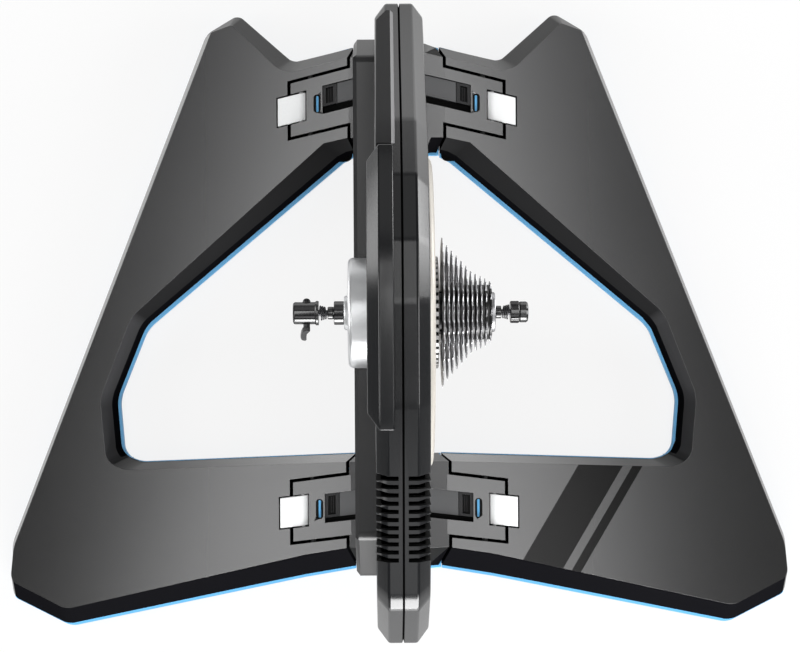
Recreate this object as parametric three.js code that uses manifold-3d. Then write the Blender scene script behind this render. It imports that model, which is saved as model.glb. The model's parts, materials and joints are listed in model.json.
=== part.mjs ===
// Direct drive bike trainer. Millimetres, +X the drive side, +Y the front, +Z up,
// the floor at zero and the origin under the middle of the footprint.
import * as THREE from 'three';
import { mergeVertices } from 'three/addons/utils/BufferGeometryUtils.js';
import Module from 'manifold-3d';

const wasm = await Module();
wasm.setup();

// How many sides stand for a round, small and large
const roundSides = 20;
const latheSides = 32;

// Clearances and the floor
const fitGap = 0.3;
const seamGap = 3;
const undersideHeight = 10;
const coverThickness = 6;
const frameBottom = undersideHeight + coverThickness + fitGap;

// Shares of two sizes become the points of an outline
const spread = (shares, acrossSize, alongSize, alongStart = 0) => (
  shares.map(([across, along]) => [across * acrossSize, alongStart + along * alongSize])
);

// The slope of the deck, which falls away from the body on both sides
const deckInnerX = 45;
const deckInnerHeight = 72;
const deckSlopeShare = 0.086;
const deckHeight = (x) => deckInnerHeight - deckSlopeShare * (Math.abs(x) - deckInnerX);

// The wing outlines, top edge and bottom edge, in the same order from the front arm round
const wingHalfWidth = 375;
const wingHalfLength = 295.9;
const wingTopShares = [
  [0.1237, 0.8276], [0.284, 0.7797], [0.4147, 0.9392], [0.4645, 0.9142],
  [0.9851, -0.7273], [0.9893, -0.8368], [0.8472, -0.927], [0.3509, -0.7807],
  [0.2363, -0.7475], [0.1323, -0.726], [0.1323, -0.4536], [0.6987, -0.4806],
  [0.7413, -0.4495], [0.7549, -0.2514], [0.6741, 0.0108], [0.184, 0.5573],
  [0.1237, 0.5735],
];
const wingBottomShares = [
  [0.1107, 0.8901], [0.2664, 0.8425], [0.4069, 1], [0.4904, 0.9368],
  [1, -0.7266], [0.9987, -0.902], [0.8469, -1], [0.3637, -0.8746],
  [0.24, -0.8435], [0.1107, -0.8165], [0.1107, -0.4387], [0.672, -0.4633],
  [0.7067, -0.436], [0.7184, -0.2575], [0.6459, -0.0297], [0.1373, 0.512],
  [0.1107, 0.5296],
];
const wingTopOutline = spread(wingTopShares, wingHalfWidth, wingHalfLength);
const wingBottomOutline = spread(wingBottomShares, wingHalfWidth, wingHalfLength);

// How far the shell's wall stands back from the cover's edge along each side
const lipShow = 2.6;
const lipWide = 3.5;
const lipHidden = 0.4;
const shellLips = [
  lipHidden, lipHidden, lipHidden, lipHidden,
  lipHidden, lipHidden, lipShow, lipShow,
  lipShow, 0, lipHidden, lipHidden,
  lipShow, lipShow, lipWide, lipWide,
  0,
];
const wingWall = 4;
const wingSolidX = 118;

// Wing feet
const footRadius = 14;
const footTop = undersideHeight - fitGap;
const wingFootShares = [[0.4347, 0.8719], [0.912, -0.8246]];
const [wingFrontFoot, wingRearFoot] = spread(wingFootShares, wingHalfWidth, wingHalfLength);

// The hinge line and its barrel
const hingeX = 81;
const hingeDrop = 5.1;
const hingeHeight = deckHeight(hingeX) - hingeDrop;
const barrelRadius = 19;
const barrelSides = 10;
const pinRadius = 2.5;
const plateUnderHinge = 6;
const barrelStraightTop = hingeHeight - plateUnderHinge;
const foldReliefDrop = 7;
const foldRelief = 3;
const tongueEndX = 99.7;
const tongueUndersideInnerX = 60;
const barrelStartTurnShare = 0.64;

// The two middle blocks between the wings
const traySeam = 0.6;
const spineHalfWidth = 27;
const spineCorner = 5;
const frontPeak = 4.2;
const rearPeak = -1;

// What differs between the front hinge and the rear hinge, in Y from each hinge's middle
const hingeShares = [0.7097, -0.6083];
const [frontHingeY, rearHingeY] = hingeShares.map((share) => share * wingHalfLength);
const frontTopFront = 34.9;
const frontTopRear = -40.3;
const frontBottomFront = 52.7;
const frontBottomRear = -51.8;
const frontTongueInnerX = 44.7;
const frontTongueInnerRear = -26.2;
const frontTongueInnerFront = 25;
const frontTongueOuterRear = -38.6;
const frontTongueOuterFront = 11.5;
const frontBarrelRear = -23.5;
const frontBarrelFront = 10;
const frontPinRear = -49;
const frontPinFront = 22;
const frontSlantShare = 0.235;
const frontKeyRearAtTip = -28.8;
const frontKeyFrontAtTip = -2.6;
const frontSlotRear = -16.4;
const frontSlotFront = 0.8;
const frontRecessRearAtTip = -17.5;
const frontRecessFrontAtTip = 9;
const frontSlideRearAtTip = -10.3;
const frontFootY = 22;
const frontHinge = {
  name: 'front',
  peak: frontPeak,
  wingTopInnerX: wingTopOutline[0][0],
  wingBottomInnerX: wingBottomOutline[0][0],
  topFront: frontHingeY + frontTopFront,
  topRear: frontHingeY + frontTopRear,
  bottomFront: frontHingeY + frontBottomFront,
  bottomRear: frontHingeY + frontBottomRear,
  tongueInnerX: frontTongueInnerX,
  tongueInnerRear: frontHingeY + frontTongueInnerRear,
  tongueInnerFront: frontHingeY + frontTongueInnerFront,
  tongueOuterRear: frontHingeY + frontTongueOuterRear,
  tongueOuterFront: frontHingeY + frontTongueOuterFront,
  barrelRear: frontHingeY + frontBarrelRear,
  barrelFront: frontHingeY + frontBarrelFront,
  pinRear: frontHingeY + frontPinRear,
  pinFront: frontHingeY + frontPinFront,
  slantShare: frontSlantShare,
  keyRearAtTip: frontHingeY + frontKeyRearAtTip,
  keyFrontAtTip: frontHingeY + frontKeyFrontAtTip,
  slotRear: frontHingeY + frontSlotRear,
  slotFront: frontHingeY + frontSlotFront,
  recessRearAtTip: frontHingeY + frontRecessRearAtTip,
  recessFrontAtTip: frontHingeY + frontRecessFrontAtTip,
  slideRearAtTip: frontHingeY + frontSlideRearAtTip,
  footY: frontHingeY + frontFootY,
};
const rearTopFront = 45.9;
const rearTopRear = -34.3;
const rearBottomFront = 50;
const rearBottomRear = -61.4;
const rearTongueInnerX = 48.2;
const rearTongueInnerRear = -22.7;
const rearTongueInnerFront = 33.3;
const rearTongueOuterRear = -29.1;
const rearTongueOuterFront = 26.5;
const rearBarrelRear = -20;
const rearBarrelFront = 24.5;
const rearPinRear = -36;
const rearPinFront = 39;
const rearSlantShare = 0.118;
const rearKeyRearAtTip = -16.8;
const rearKeyFrontAtTip = 11.6;
const rearSlotRear = -7.9;
const rearSlotFront = 11;
const rearRecessRearAtTip = -11.4;
const rearRecessFrontAtTip = 15.8;
const rearSlideRearAtTip = -6.9;
const rearFootY = -32;
const rearHinge = {
  name: 'rear',
  peak: rearPeak,
  wingTopInnerX: wingTopOutline[9][0],
  wingBottomInnerX: wingBottomOutline[9][0],
  topFront: rearHingeY + rearTopFront,
  topRear: rearHingeY + rearTopRear,
  bottomFront: rearHingeY + rearBottomFront,
  bottomRear: rearHingeY + rearBottomRear,
  tongueInnerX: rearTongueInnerX,
  tongueInnerRear: rearHingeY + rearTongueInnerRear,
  tongueInnerFront: rearHingeY + rearTongueInnerFront,
  tongueOuterRear: rearHingeY + rearTongueOuterRear,
  tongueOuterFront: rearHingeY + rearTongueOuterFront,
  barrelRear: rearHingeY + rearBarrelRear,
  barrelFront: rearHingeY + rearBarrelFront,
  pinRear: rearHingeY + rearPinRear,
  pinFront: rearHingeY + rearPinFront,
  slantShare: rearSlantShare,
  keyRearAtTip: rearHingeY + rearKeyRearAtTip,
  keyFrontAtTip: rearHingeY + rearKeyFrontAtTip,
  slotRear: rearHingeY + rearSlotRear,
  slotFront: rearHingeY + rearSlotFront,
  recessRearAtTip: rearHingeY + rearRecessRearAtTip,
  recessFrontAtTip: rearHingeY + rearRecessFrontAtTip,
  slideRearAtTip: rearHingeY + rearSlideRearAtTip,
  footY: rearHingeY + rearFootY,
};
const hinges = [frontHinge, rearHinge];

// Release keys
const keyTipX = 112;
const keyAxisX = 90;
const keyBarrelRadius = 5;
const keyAxisDrop = 5.6;
const keyPlate = 3.4;
const keyHookDepth = 7.5;
const keyHookWidth = 3;
const keyTrunnionRadius = 1.8;
const keyTrunnionLength = 3;
const keyGap = 1.2;
const keyRecessDepth = 11.3;
const keyRecessInnerX = 84.2;
const keyArcTurnShare = 0.6;

// Lock indicators
const slotInnerX = 71.3;
const slotOuterX = 78.1;
const slotDepth = 4.2;
const indicatorThickness = 2.6;

// Lock slides
const slideTipX = 69.4;
const slideInnerX = 32;
const slideRecessInnerX = 24;
const slideRecessDepth = 8;
const slideThickness = 6.4;
const slideWindowOuterX = 66.6;
const slideWindowInnerX = 59.6;
const slideWindowDepth = 3;
const slideWindowEdge = 2.4;

// The axle line
const axleY = 3.5;
const axleHeight = 340;

// The upright housing, in profile from the front of its base round to the rear
const housingFoot = 75;
const housingReach = 250;
const housingRise = 205.5;
const housingTop = axleHeight + housingRise;
const housingShares = [
  [0.732, 0], [0.704, 0.1211], [0.928, 0.3337], [1, 0.5122],
  [0.984, 0.5632], [0.556, 0.865], [0.384, 0.9501], [0.208, 0.9904],
  [0.04, 1], [-0.24, 0.9883], [-0.52, 0.9479], [-0.784, 0.8969],
  [-0.824, 0.8799], [-0.966, 0.7333], [-0.972, 0.5165], [-0.848, 0.2954],
  [-0.632, 0.1211], [-0.652, 0],
];
const housingOutline = spread(housingShares, housingReach, housingTop - housingFoot, housingFoot);
const housingHalfWidth = 18.9;
const crownHalfWidth = 10.5;
const housingBevel = 11;
const housingSeam = 0.15;
const seamGrooveWidth = 0.8;
const seamGrooveDepth = 3;
const cavityDepth = 14.5;
const cavityHalfWidth = 15.5;
const ventCount = 11;
const ventPitch = 5.8;
const ventWidth = 3;
const ventFirstY = -109;
const ventInnerX = 3.4;
const ventDrop = 75.5;
const ventOver = 14.5;

// The round openings about the axle line
const rotorOpeningRadius = 126;
const supportOpeningRadius = 32;

// The left motor cover, a shelf sided box with a round notch for the boss
const motorCoverReach = 227;
const motorCoverHeight = 222;
const motorCoverDrop = 2;
const motorCoverLow = axleHeight - motorCoverDrop - motorCoverHeight;
const motorCoverShares = [
  [0.6608, 0.0541], [0.9471, 0.4955], [1, 0.7838], [0.9031, 1],
  [-0.7621, 1], [-0.9295, 0.7838], [-0.8634, 0.4144], [-0.5727, 0],
];
const motorCoverOutline = spread(motorCoverShares, motorCoverReach, motorCoverHeight, motorCoverLow);
const motorCoverInnerX = -19.2;
const motorCoverOuterX = -38.3;
const motorCoverBevel = 5;
const motorCoverWall = 3;
const bossNotchGap = 0.5;

// The raised shield over the left of the crown
const shieldReach = 118;
const shieldStart = 1;
const shieldRise = 4.5;
const shieldLow = axleHeight + shieldStart;
const shieldHigh = housingTop + shieldRise;
const shieldShares = [
  [1, 0], [1, 0.8182], [0.8136, 0.8876], [0.4407, 0.9785],
  [0.0847, 1], [-0.5085, 0.9737], [-0.6525, 0.9522], [-0.6525, 0],
];
const shieldOutline = spread(shieldShares, shieldReach, shieldHigh - shieldLow, shieldLow);
const shieldInnerX = -6;
const shieldCrownX = -16;
const shieldOuterX = -24.3;
const shieldBevel = 11;

// The axle parts, given as distances along the axle and radii
const bossRadius = 43.3;
const bossInnerX = -19.2;
const bossStepX = -37.5;
const bossStepRadius = 40;
const bossFaceX = -40.7;
const bossCapRadius = 14;
const bossCapX = -44;
const bossCapChamfer = 2;
const axleRadius = 7.5;
const axleBore = 3.2;
const axleLeftX = -43.8;
const axleRightX = 70;
const collarRadius = 9.4;
const collarInnerX = -44.2;
const collarStepX = -52;
const stubRadius = 5;
const stubLeftX = -57;
const endCapInnerX = 70.3;
const endCapFlangeX = 74;
const stubRightX = 79;

// Inside the motor
const statorInnerRadius = 34;
const statorOuterRadius = 98;
const statorLeftX = -14.9;
const statorRightX = 2;
const magnetInnerRadius = 102;
const magnetOuterRadius = 116;
const magnetLeftX = -12;
const rotorRadius = 123;
const rotorInnerX = 10;
const rotorFaceX = 24.6;
const rotorEdgeRound = 2;
const rotorRingInner = 30;
const rotorRingOuter = 44;
const rotorRingX = 29.4;
const rotorHubRadius = 12;
const bearingOuterRadius = 11.7;
const bearingInnerRadius = 7.8;
const bearingWidth = 8;
const bearingLeftX = -14;
const bearingRightX = 12;
const boardInnerX = -housingHalfWidth - fitGap;
const boardThickness = 1.6;
const boardRear = -110;
const boardFront = -20;
const boardDrop = 90;
const boardHeight = 80;
const boardHigh = axleHeight - boardDrop;
const boardLow = boardHigh - boardHeight;
const socketWidth = 14;
const socketHeight = 11;
const socketY = -80;
const socketLow = 88;
const socketDepth = 8;
const socketBore = 4;
const socketBoreDepth = 6.5;

// Cassette
const chainPitch = 12.7;
const sprocketPitch = 3.74;
const sprocketThickness = 1.8;
const largestSprocketX = 32.8;
const toothAddendum = 2;
const toothDedendum = 3.6;
const sprocketBore = 17.6;
const carrierRadius = 21.5;
const carrierGap = 0.35;
const clusterWindowCount = 6;
const clusterWindowInner = 24;
const clusterWindowOuter = 41;
const clusterWindowShare = 0.62;
const sprocketToothCounts = [28, 25, 23, 21, 19, 17, 15, 14, 13, 12, 11];
const clusterSprocketCounts = [3, 2, 1, 1, 1, 1, 1, 1];
const freehubRadius = 17.2;
const freehubLeftX = 27.6;
const freehubRightX = 71;
const freehubNeckRadius = 15;
const freehubBore = 7.9;
const lockringRadius = 15.6;
const lockringFlange = 16.5;
const lockringLeftX = 71.3;
const lockringRightX = 73.9;

// Skewer
const rodRadius = 2.4;
const rodLeftX = -70.6;
const rodRightX = 97;
const springWire = 0.5;
const springCurlCount = 3;
const springStepCount = 8;
const springWireSides = 5;
const springNarrow = 4.1;
const springWide = 6;
const springEndLength = springWire * 2;
const springLeftStart = -57.9;
const springLeftEnd = -63.1;
const springRightStart = 79.9;
const springRightEnd = 85.1;
const capRadius = 8.75;
const capFlangeRadius = 9.6;
const capInnerX = -64;
const capFlangeX = -66.4;
const capOuterX = -84;
const capEdge = 1.2;
const capBoreDepthX = -72;
const capSlotHalfWidth = 4.3;
const leverAxisX = -73.5;
const leverPinRadius = 2.6;
const leverPinGap = 0.25;
const leverPinFront = 13;
const leverPinRear = -12.5;
const leverBallRadius = 3.6;
const leverArmReach = 6.6;
const leverArmLength = 46;
const leverArmShares = [
  [0.3939, 0.0783], [-0.6364, 0.0783], [-1, -0.2609], [-0.8182, -0.7391],
  [-0.2424, -0.9565], [0.3636, -1], [0.5455, -0.9348], [0.0909, -0.7391],
  [-0.1818, -0.3043], [0.5152, -0.0652],
];
const leverArm = spread(leverArmShares, leverArmReach, leverArmLength);
const leverArmThickness = 3.2;
const nutRadius = 8.7;
const nutLeftX = 86;
const nutRightX = 100;
const nutBoreX = 97.8;
const nutRidgeCount = 20;
const nutRidgeDepth = 0.5;
const rodGap = 0.4;

// Shape helpers: closed outlines become solids, and solids are joined or cut

function placed(geometry, xAxis, yAxis, zAxis) {
  const turn = new THREE.Matrix4().makeBasis(xAxis, yAxis, zAxis);
  return geometry.applyMatrix4(turn);
}

function shapeOf(outline, holes = []) {
  const shape = new THREE.Shape(outline.map(([a, b]) => new THREE.Vector2(a, b)));
  holes.forEach((hole) => {
    shape.holes.push(new THREE.Path(hole.map(([a, b]) => new THREE.Vector2(a, b))));
  });
  return shape;
}

const alongX = new THREE.Vector3(1, 0, 0);
const alongY = new THREE.Vector3(0, 1, 0);
const alongZ = new THREE.Vector3(0, 0, 1);
const againstY = new THREE.Vector3(0, -1, 0);

// An outline in plan, raised from one height to another
function upright(outline, low, high) {
  const settings = { depth: high - low, bevelEnabled: false };
  return new THREE.ExtrudeGeometry(shapeOf(outline), settings).translate(0, 0, low);
}

// An outline seen from the side, in Y and Z, run across in X
function sideways(outline, from, to, holes = []) {
  const settings = { depth: to - from, bevelEnabled: false };
  const body = new THREE.ExtrudeGeometry(shapeOf(outline, holes), settings);
  return placed(body, alongY, alongZ, alongX).translate(from, 0, 0);
}

// An outline seen from the front, in X and Z, run along in Y
function lengthways(outline, rear, front) {
  const settings = { depth: front - rear, bevelEnabled: false };
  const body = new THREE.ExtrudeGeometry(shapeOf(outline), settings);
  return placed(body, alongX, alongZ, againstY).translate(0, front, 0);
}

function boxBetween(x0, x1, y0, y1, z0, z1) {
  return upright([[x0, y0], [x1, y0], [x1, y1], [x0, y1]], z0, z1);
}

// A closed profile of [radius, distance] pairs turned about the axle line
function turned(profile, sides = latheSides) {
  const points = profile.map(([radius, along]) => new THREE.Vector2(radius, along));
  points.push(points[0].clone());
  const area = THREE.ShapeUtils.area(points.slice(0, -1));
  const ordered = area < 0 ? points : points.reverse();
  const body = new THREE.LatheGeometry(ordered.reverse(), sides);
  body.rotateZ(-Math.PI / 2);
  return body.translate(0, axleY, axleHeight);
}

// A tube with flat ends about the axle line
function ring(inner, outer, from, to, sides = latheSides) {
  return turned([[inner, from], [outer, from], [outer, to], [inner, to]], sides);
}

// A round bar about the axle line
function disc(radius, from, to, sides = latheSides) {
  const outline = circle(radius, sides).map(([a, b]) => [a + axleY, b + axleHeight]);
  return sideways(outline, Math.min(from, to), Math.max(from, to));
}

function circle(radius, sides) {
  const points = [];
  for (let i = 0; i < sides; i += 1) {
    const angle = (2 * Math.PI * i) / sides;
    points.push([radius * Math.cos(angle), radius * Math.sin(angle)]);
  }
  return points;
}

// Rings of points with the same count, skinned and capped at both ends
function skinned(rings, outlineForCaps) {
  const count = rings[0].length;
  const positions = rings.flat(2);
  const index = [];
  for (let level = 0; level + 1 < rings.length; level += 1) {
    for (let i = 0; i < count; i += 1) {
      const a = level * count + i;
      const b = level * count + ((i + 1) % count);
      index.push(a, b, b + count, a, b + count, a + count);
    }
  }
  const flat = outlineForCaps.map(([a, b]) => new THREE.Vector2(a, b));
  const last = (rings.length - 1) * count;
  THREE.ShapeUtils.triangulateShape(flat, []).forEach(([a, b, c]) => {
    index.push(a, c, b);
    index.push(last + a, last + b, last + c);
  });
  const body = new THREE.BufferGeometry();
  body.setAttribute('position', new THREE.Float32BufferAttribute(positions, 3));
  body.setIndex(index);
  return body;
}

// An outline moved inwards, each side by its own distance
function inset(outline, distances) {
  const count = outline.length;
  const sign = THREE.ShapeUtils.area(outline.map(([a, b]) => new THREE.Vector2(a, b))) > 0 ? 1 : -1;
  const far = (i) => (Array.isArray(distances) ? distances[(i + count) % count] : distances);
  const side = (i) => {
    const [ax, ay] = outline[(i + count) % count];
    const [bx, by] = outline[(i + 1 + count) % count];
    const length = Math.hypot(bx - ax, by - ay);
    const normal = [(-sign * (by - ay)) / length, (sign * (bx - ax)) / length];
    const start = [ax + normal[0] * far(i), ay + normal[1] * far(i)];
    return { start, along: [(bx - ax) / length, (by - ay) / length] };
  };
  return outline.map((_, i) => {
    const before = side(i - 1);
    const after = side(i);
    const cross = before.along[0] * after.along[1] - before.along[1] * after.along[0];
    const dx = after.start[0] - before.start[0];
    const dy = after.start[1] - before.start[1];
    const reach = (dx * after.along[1] - dy * after.along[0]) / cross;
    return [before.start[0] + before.along[0] * reach, before.start[1] + before.along[1] * reach];
  });
}

function solid(geometry) {
  const bare = geometry.clone();
  bare.deleteAttribute('normal');
  bare.deleteAttribute('uv');
  const merged = mergeVertices(bare);
  const mesh = new wasm.Mesh({
    numProp: 3,
    vertProperties: new Float32Array(merged.attributes.position.array),
    triVerts: new Uint32Array(merged.index.array),
  });
  return new wasm.Manifold(mesh);
}

function geometryOf(body) {
  const mesh = body.getMesh();
  const geometry = new THREE.BufferGeometry();
  geometry.setAttribute('position', new THREE.BufferAttribute(mesh.vertProperties, mesh.numProp));
  geometry.setIndex(new THREE.BufferAttribute(mesh.triVerts, 1));
  return geometry;
}

function joined(...parts) {
  return geometryOf(parts.map(solid).reduce((whole, part) => whole.add(part)));
}

function cut(base, ...tools) {
  return geometryOf(tools.map(solid).reduce((whole, tool) => whole.subtract(tool), solid(base)));
}

function common(base, tool) {
  return geometryOf(solid(base).intersect(solid(tool)));
}

function mirrored(geometry) {
  const copy = geometry.clone();
  copy.applyMatrix4(new THREE.Matrix4().makeScale(-1, 1, 1));
  if (!copy.index) {
    const order = [];
    for (let i = 0; i < copy.attributes.position.count; i += 1) order.push(i);
    copy.setIndex(order);
  }
  const flipped = [];
  for (let i = 0; i < copy.index.count; i += 3) {
    flipped.push(copy.index.array[i], copy.index.array[i + 2], copy.index.array[i + 1]);
  }
  copy.setIndex(flipped);
  return copy;
}

// Surfaces
const surfaces = {
  charcoal: new THREE.MeshStandardMaterial({ color: '#5d5e60', roughness: 0.5, metalness: 0.2 }),
  black: new THREE.MeshStandardMaterial({ color: '#26282b', roughness: 0.5, metalness: 0 }),
  housing: new THREE.MeshStandardMaterial({ color: '#3b3e43', roughness: 0.45, metalness: 0.1 }),
  blue: new THREE.MeshStandardMaterial({ color: '#5bb4e9', roughness: 0.5, metalness: 0 }),
  bright: new THREE.MeshStandardMaterial({ color: '#eceeee', roughness: 0.25, metalness: 0.9 }),
  silver: new THREE.MeshStandardMaterial({ color: '#c9cbcd', roughness: 0.3, metalness: 0.9 }),
  cream: new THREE.MeshStandardMaterial({ color: '#cfc9bd', roughness: 0.4, metalness: 0.5 }),
  steel: new THREE.MeshStandardMaterial({ color: '#9a9c9e', roughness: 0.3, metalness: 1 }),
  copper: new THREE.MeshStandardMaterial({ color: '#b56b3a', roughness: 0.4, metalness: 0.9 }),
  board: new THREE.MeshStandardMaterial({ color: '#1f6b3f', roughness: 0.6, metalness: 0 }),
  rubber: new THREE.MeshStandardMaterial({ color: '#1b1b1c', roughness: 0.9, metalness: 0 }),
};

const trainer = new THREE.Group();
trainer.name = 'direct_drive_trainer';

function add(name, geometry, surface) {
  const body = geometry.clone();
  body.deleteAttribute('uv');
  body.computeVertexNormals();
  const mesh = new THREE.Mesh(body, surface);
  mesh.name = name;
  trainer.add(mesh);
}

// Wings: a hollow sloped shell open underneath, with solid fork arms at the hinges

const beyond = 20;

// The tongue's plan, widened by a gap, from a starting X out to its end
function tonguePlan(hinge, gap, fromX) {
  const run = tongueEndX - hinge.tongueInnerX;
  const rearShare = (hinge.tongueOuterRear - hinge.tongueInnerRear) / run;
  const frontShare = (hinge.tongueOuterFront - hinge.tongueInnerFront) / run;
  const rearAt = (x) => hinge.tongueInnerRear + rearShare * (x - hinge.tongueInnerX) - gap;
  const frontAt = (x) => hinge.tongueInnerFront + frontShare * (x - hinge.tongueInnerX) + gap;
  const endX = tongueEndX + gap;
  return [
    [fromX, rearAt(fromX)], [endX, rearAt(endX)],
    [endX, frontAt(endX)], [fromX, frontAt(fromX)],
  ];
}

// The wing's pocket for the tongue, wider far below the deck so that its slanted sides swing clear
function tonguePocket(hinge) {
  const narrow = tonguePlan(hinge, seamGap, spineHalfWidth);
  const wide = tonguePlan(hinge, seamGap + foldRelief, spineHalfWidth);
  const wideTop = hingeHeight - foldReliefDrop;
  return joined(
    upright(narrow, wideTop - fitGap, deckInnerHeight + beyond), upright(wide, -beyond, wideTop),
  );
}

// The key plan, a slanted band out to the key's tip
function keyPlan(hinge, gap, fromX, toX) {
  const shiftAt = (x) => hinge.slantShare * (keyTipX - x);
  return [
    [fromX, hinge.keyRearAtTip - gap + shiftAt(fromX)],
    [toX, hinge.keyRearAtTip - gap + shiftAt(toX)],
    [toX, hinge.keyFrontAtTip + gap + shiftAt(toX)],
    [fromX, hinge.keyFrontAtTip + gap + shiftAt(fromX)],
  ];
}

function keyRecess(hinge) {
  const plan = keyPlan(hinge, keyGap, keyRecessInnerX, keyTipX + keyGap);
  return upright(plan, deckHeight(keyAxisX) - keyRecessDepth, deckInnerHeight + beyond);
}

// The pit under the key in the wing, round about the hinge line so that the wing swings clear
function keyPit(hinge) {
  const reach = Math.hypot(keyTipX + keyGap - hingeX, deckHeight(keyTipX) - hingeHeight);
  const outline = circle(reach, roundSides + roundSides).map(([a, b]) => [hingeX + a, hingeHeight + b]);
  const swept = lengthways(outline, hinge.bottomRear, hinge.bottomFront);
  const wideTop = hingeHeight - foldReliefDrop;
  const farX = hingeX + reach + keyGap;
  return common(swept, joined(
    upright(keyPlan(hinge, keyGap, hingeX, farX), wideTop - fitGap, hingeHeight + beyond),
    upright(keyPlan(hinge, keyGap + foldRelief, hingeX, farX), 0, wideTop),
  ));
}

function pinBore(hinge) {
  const bore = circle(pinRadius + fitGap, roundSides);
  const outline = bore.map(([a, b]) => [hingeX + a, hingeHeight + b]);
  return lengthways(outline, hinge.pinRear - fitGap, hinge.pinFront + fitGap);
}

function wingShell() {
  const shellBottom = inset(wingBottomOutline, shellLips);
  const lower = shellBottom.map(([x, y]) => [x, y, frameBottom]);
  const upper = wingTopOutline.map(([x, y]) => [x, y, deckHeight(x)]);
  const outer = orientedSkin([lower, upper], shellBottom);
  const insideBottom = inset(shellBottom, wingWall);
  const insideTop = inset(wingTopOutline, wingWall);
  const under = insideBottom.map(([x, y]) => [x, y, undersideHeight]);
  const ceiling = insideTop.map(([x, y]) => [x, y, deckHeight(x) - wingWall]);
  const hollow = orientedSkin([under, ceiling], insideBottom);
  const outward = boxBetween(
    wingSolidX, wingBottomOutline[4][0] + beyond,
    wingBottomOutline[6][1] - beyond, wingBottomOutline[2][1] + beyond,
    0, deckInnerHeight + beyond,
  );
  return cut(
    outer, common(hollow, outward),
    ...hinges.map(tonguePocket), ...hinges.map(keyPit), ...hinges.map(pinBore),
  );
}

// A skin whose rings may run either way round, turned to face outwards
function orientedSkin(rings, capOutline) {
  const flat = capOutline.map(([a, b]) => new THREE.Vector2(a, b));
  if (THREE.ShapeUtils.area(flat) > 0) return skinned(rings, capOutline);
  return skinned(rings.map((level) => [...level].reverse()), [...capOutline].reverse());
}

function wingCover() {
  return upright(wingBottomOutline, undersideHeight, undersideHeight + coverThickness);
}

function footPad([x, y]) {
  const outline = circle(footRadius, roundSides).map(([a, b]) => [x + a, y + b]);
  return upright(outline, 0, footTop);
}

function hingePin(hinge) {
  const outline = circle(pinRadius, roundSides).map(([a, b]) => [hingeX + a, hingeHeight + b]);
  return lengthways(outline, hinge.pinRear, hinge.pinFront);
}

const sides = [
  { name: 'right', shaped: (geometry) => geometry },
  { name: 'left', shaped: mirrored },
];

const shell = wingShell();
const cover = wingCover();
sides.forEach((side) => {
  add(`wing_${side.name}_shell`, side.shaped(shell), surfaces.charcoal);
  add(`wing_${side.name}_cover`, side.shaped(cover), surfaces.blue);
  add(`wing_${side.name}_foot_front`, side.shaped(footPad(wingFrontFoot)), surfaces.rubber);
  add(`wing_${side.name}_foot_rear`, side.shaped(footPad(wingRearFoot)), surfaces.rubber);
  hinges.forEach((hinge) => {
    add(`wing_${side.name}_pin_${hinge.name}`, side.shaped(hingePin(hinge)), surfaces.steel);
  });
});

// Middle blocks: a sloped block across the frame with a tongue out to each hinge line

function slidePlan(hinge, fromX, toX, rear, front) {
  const shiftAt = (x) => hinge.slantShare * (slideTipX - x);
  return [
    [fromX, rear + shiftAt(fromX)], [toX, rear + shiftAt(toX)],
    [toX, front + shiftAt(toX)], [fromX, front + shiftAt(fromX)],
  ];
}

function slideRecess(hinge) {
  const plan = slidePlan(
    hinge, slideRecessInnerX, slideTipX + fitGap,
    hinge.recessRearAtTip, hinge.recessFrontAtTip,
  );
  return upright(plan, deckHeight(slideTipX) - slideRecessDepth, deckInnerHeight + beyond);
}

function indicatorSlot(hinge) {
  const plan = [
    [slotInnerX, hinge.slotRear], [slotOuterX, hinge.slotRear],
    [slotOuterX, hinge.slotFront], [slotInnerX, hinge.slotFront],
  ];
  return upright(plan, deckHeight(slotOuterX) - slotDepth, deckInnerHeight + beyond);
}

// The tongue seen from the front: flat on top, rounded about the hinge line at its end
function tongueProfile() {
  const points = [[0, frameBottom], [tongueUndersideInnerX, frameBottom]];
  const startAngle = 2 * Math.PI * barrelStartTurnShare;
  const endHeight = deckHeight(hingeX + barrelRadius * Math.SQRT1_2) - hingeHeight;
  const endAngle = 2 * Math.PI + Math.asin(endHeight / barrelRadius);
  for (let i = 0; i <= barrelSides; i += 1) {
    const angle = startAngle + ((endAngle - startAngle) * i) / barrelSides;
    points.push([
      hingeX + barrelRadius * Math.cos(angle),
      hingeHeight + barrelRadius * Math.sin(angle),
    ]);
  }
  points.push([0, deckHeight(0)]);
  return points;
}

function tongue(hinge) {
  const full = lengthways(tongueProfile(), hinge.bottomRear, hinge.bottomFront);
  const plate = common(
    full, upright(tonguePlan(hinge, 0, 0), barrelStraightTop, deckInnerHeight + beyond),
  );
  const web = boxBetween(
    0, tongueEndX + beyond, hinge.barrelRear, hinge.barrelFront,
    0, barrelStraightTop + fitGap,
  );
  return joined(plate, common(full, web));
}

// A block's outline at one height, bent in the middle outside and rounded into the spine inside
function blockRing(hinge, halfWidth, rear, front) {
  const ahead = hinge.peak > 0;
  const [outer, inner] = ahead ? [front, rear] : [rear, front];
  const spineY = ahead ? hinge.bottomRear : hinge.bottomFront;
  const cornerX = spineHalfWidth + spineCorner;
  return [
    [-halfWidth, outer], [-spineHalfWidth, outer + hinge.peak],
    [spineHalfWidth, outer + hinge.peak], [halfWidth, outer],
    [halfWidth, inner], [cornerX, inner], [spineHalfWidth, spineY],
    [-spineHalfWidth, spineY], [-cornerX, inner], [-halfWidth, inner],
  ];
}

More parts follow.
